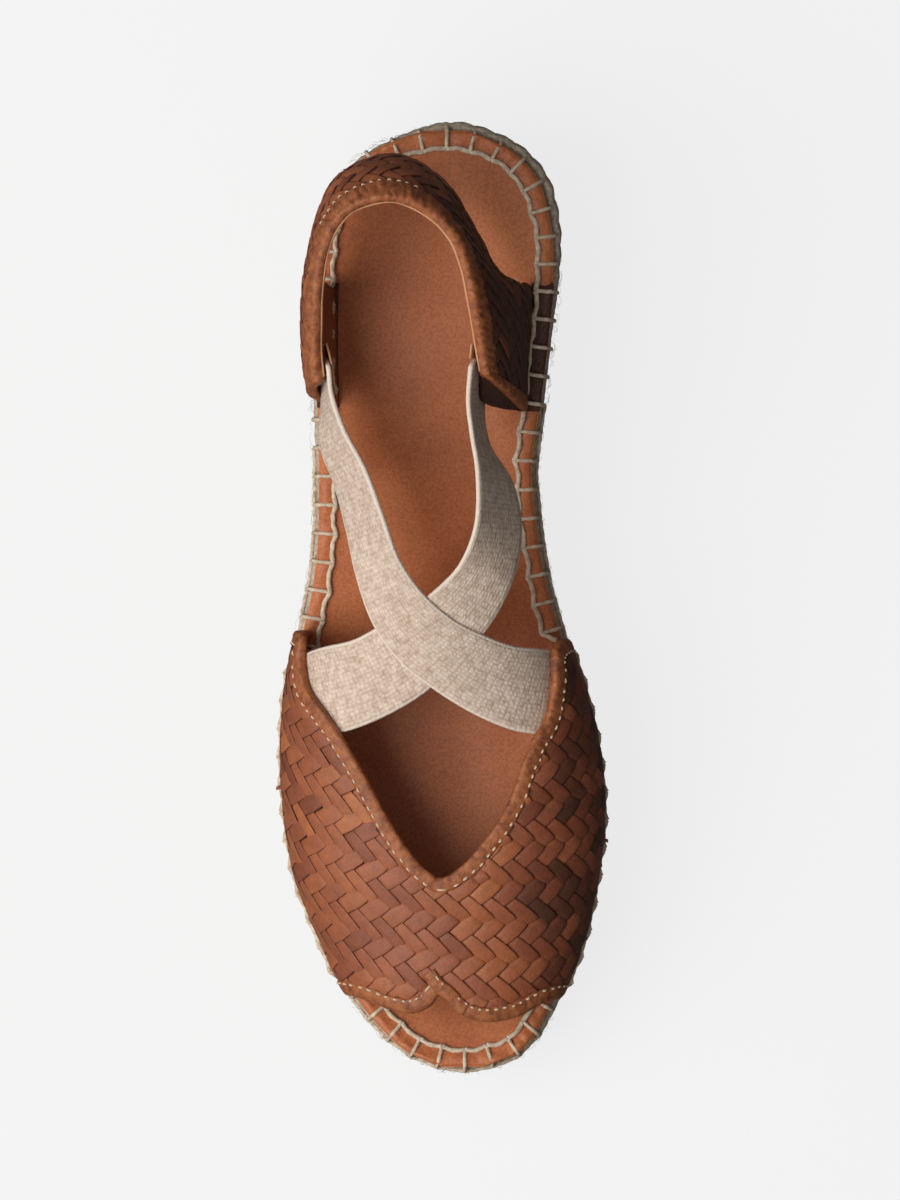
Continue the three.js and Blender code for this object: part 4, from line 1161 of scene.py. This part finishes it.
count = int(lengthOf(closedOutline) / insole["stitchPitch"])
ring, within = outlineRing(0, count), outlineRing(1, count)
ties = []
for place, inward in zip(ring, unit(within - ring)):
    side = -1 if place[0] < (outerAt(place[1]) + innerAt(place[1])) / 2 else 1
    ties.append(tiePath(place, inward, side, dice.normal(0, 0.25)))
bm = bmesh.new()
for tie in ties:
    cordOn(bm, evenly(spline(tie, np.linspace(0, 1, 40)), 30), stitch["tie"])
# the inner cord first, then the outer one
for end, sag in ((0, 0.75), (-1, 0.15)):
    for k, tie in enumerate(ties):
        after = ties[(k + 1) % len(ties)]
        apart = np.linalg.norm(after[end] - tie[end])
        if apart > stitch["longest"] or (end == -1 and tie[end][1] > stitch["heel"]):
            continue
        # the cord hangs a little towards the rim between two ties
        t = np.linspace(0, 1, 14)[:, None]
        line = tie[end] * (1 - t) + after[end] * t
        rimward = unit((tie[-1] + after[-1] - tie[0] - after[0]) * (1, 1, 0))
        hang = np.sin(math.pi * t) ** 0.8 * (sag + dice.normal(0, 0.12)) - 0.15
        line += rimward * hang * (1 if end == 0 else -1)
        line[:, 2] += np.sin(math.pi * t[:, 0]) * dice.normal(0.05, 0.08)
        cordOn(bm, line, stitch["cord"] if end == 0 else stitch["tie"])
addPiece("blanket_stitch", bm, [cottonCord])
print("stitching ready")


# Floor, light and camera

studio = {
    "floor": "#555554", "glow": 0.8,
    # window-like light from the photo's lower left, with its power in watts
    "key": 14.3, "keyPlace": (-0.68, -0.22, 0.92), "keyTarget": (0, 0, 0.03), "keySize": (0.95, 1.05),
    # strength of the sky away from and towards skyWay
    "dim": 0.06, "fill": 0.32, "skyWay": (-0.72, -0.1, 0.62),
    # the long lens frames this much of the floor from top to bottom
    "lens": 500, "sensor": 36, "height": 0.322, "across": 0.002,
}

bm = bmesh.new()
bmesh.ops.create_grid(bm, x_segments=2, y_segments=2, size=12)
mesh = bpy.data.meshes.new("floor")
bm.to_mesh(mesh)
bm.free()
floor = bpy.data.objects.new("floor", mesh)
scene.collection.objects.link(floor)
paper, tree, shader = newMaterial("matt_backdrop_paper",
                                  {"Roughness": 0.95, "Base Color": linear(studio["floor"])})
grainBump(tree, shader, 2, 0.05, 0.05)
shader.inputs["Emission Color"].default_value = (1, 1, 1, 1)
shader.inputs["Emission Strength"].default_value = studio["glow"]
mesh.materials.append(paper)
# the backdrop is lit by itself and throws no light up on the shoe
floor.visible_diffuse = False
floor.visible_glossy = False
floor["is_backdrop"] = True

world = bpy.data.worlds.new("studio")
scene.world = world
world.use_nodes = True
tree = world.node_tree
background = tree.nodes["Background"]
background.inputs["Color"].default_value = (1, 1, 1, 1)
way = addNode(tree, "VectorMath", {"operation": "DOT_PRODUCT", 1: Vector(studio["skyWay"]).normalized()},
              {0: addNode(tree, "TexCoord").outputs["Generated"]})
sky = addNode(tree, "MapRange",
              {"From Min": -1, "From Max": 1, "To Min": studio["dim"], "To Max": studio["fill"]},
              {"Value": way.outputs["Value"]})
tree.links.new(sky.outputs["Result"], background.inputs["Strength"])

data = bpy.data.lights.new("key", "AREA")
data.shape = "RECTANGLE"
data.size, data.size_y = studio["keySize"]
data.energy = studio["key"]
light = bpy.data.objects.new("key", data)
scene.collection.objects.link(light)
light.location = studio["keyPlace"]
aim = Vector(studio["keyTarget"]) - Vector(studio["keyPlace"])
light.rotation_euler = aim.to_track_quat("-Z", "Y").to_euler()

camera = bpy.data.cameras.new("camera")
camera.lens = studio["lens"]
camera.sensor_width = studio["sensor"]
camera.clip_end = 50
cameraObject = bpy.data.objects.new("camera", camera)
scene.collection.objects.link(cameraObject)
cameraObject.location = (studio["across"], 0, studio["height"] * studio["lens"] / studio["sensor"])
scene.camera = cameraObject
scene.view_settings.view_transform = "Standard"

low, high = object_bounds()
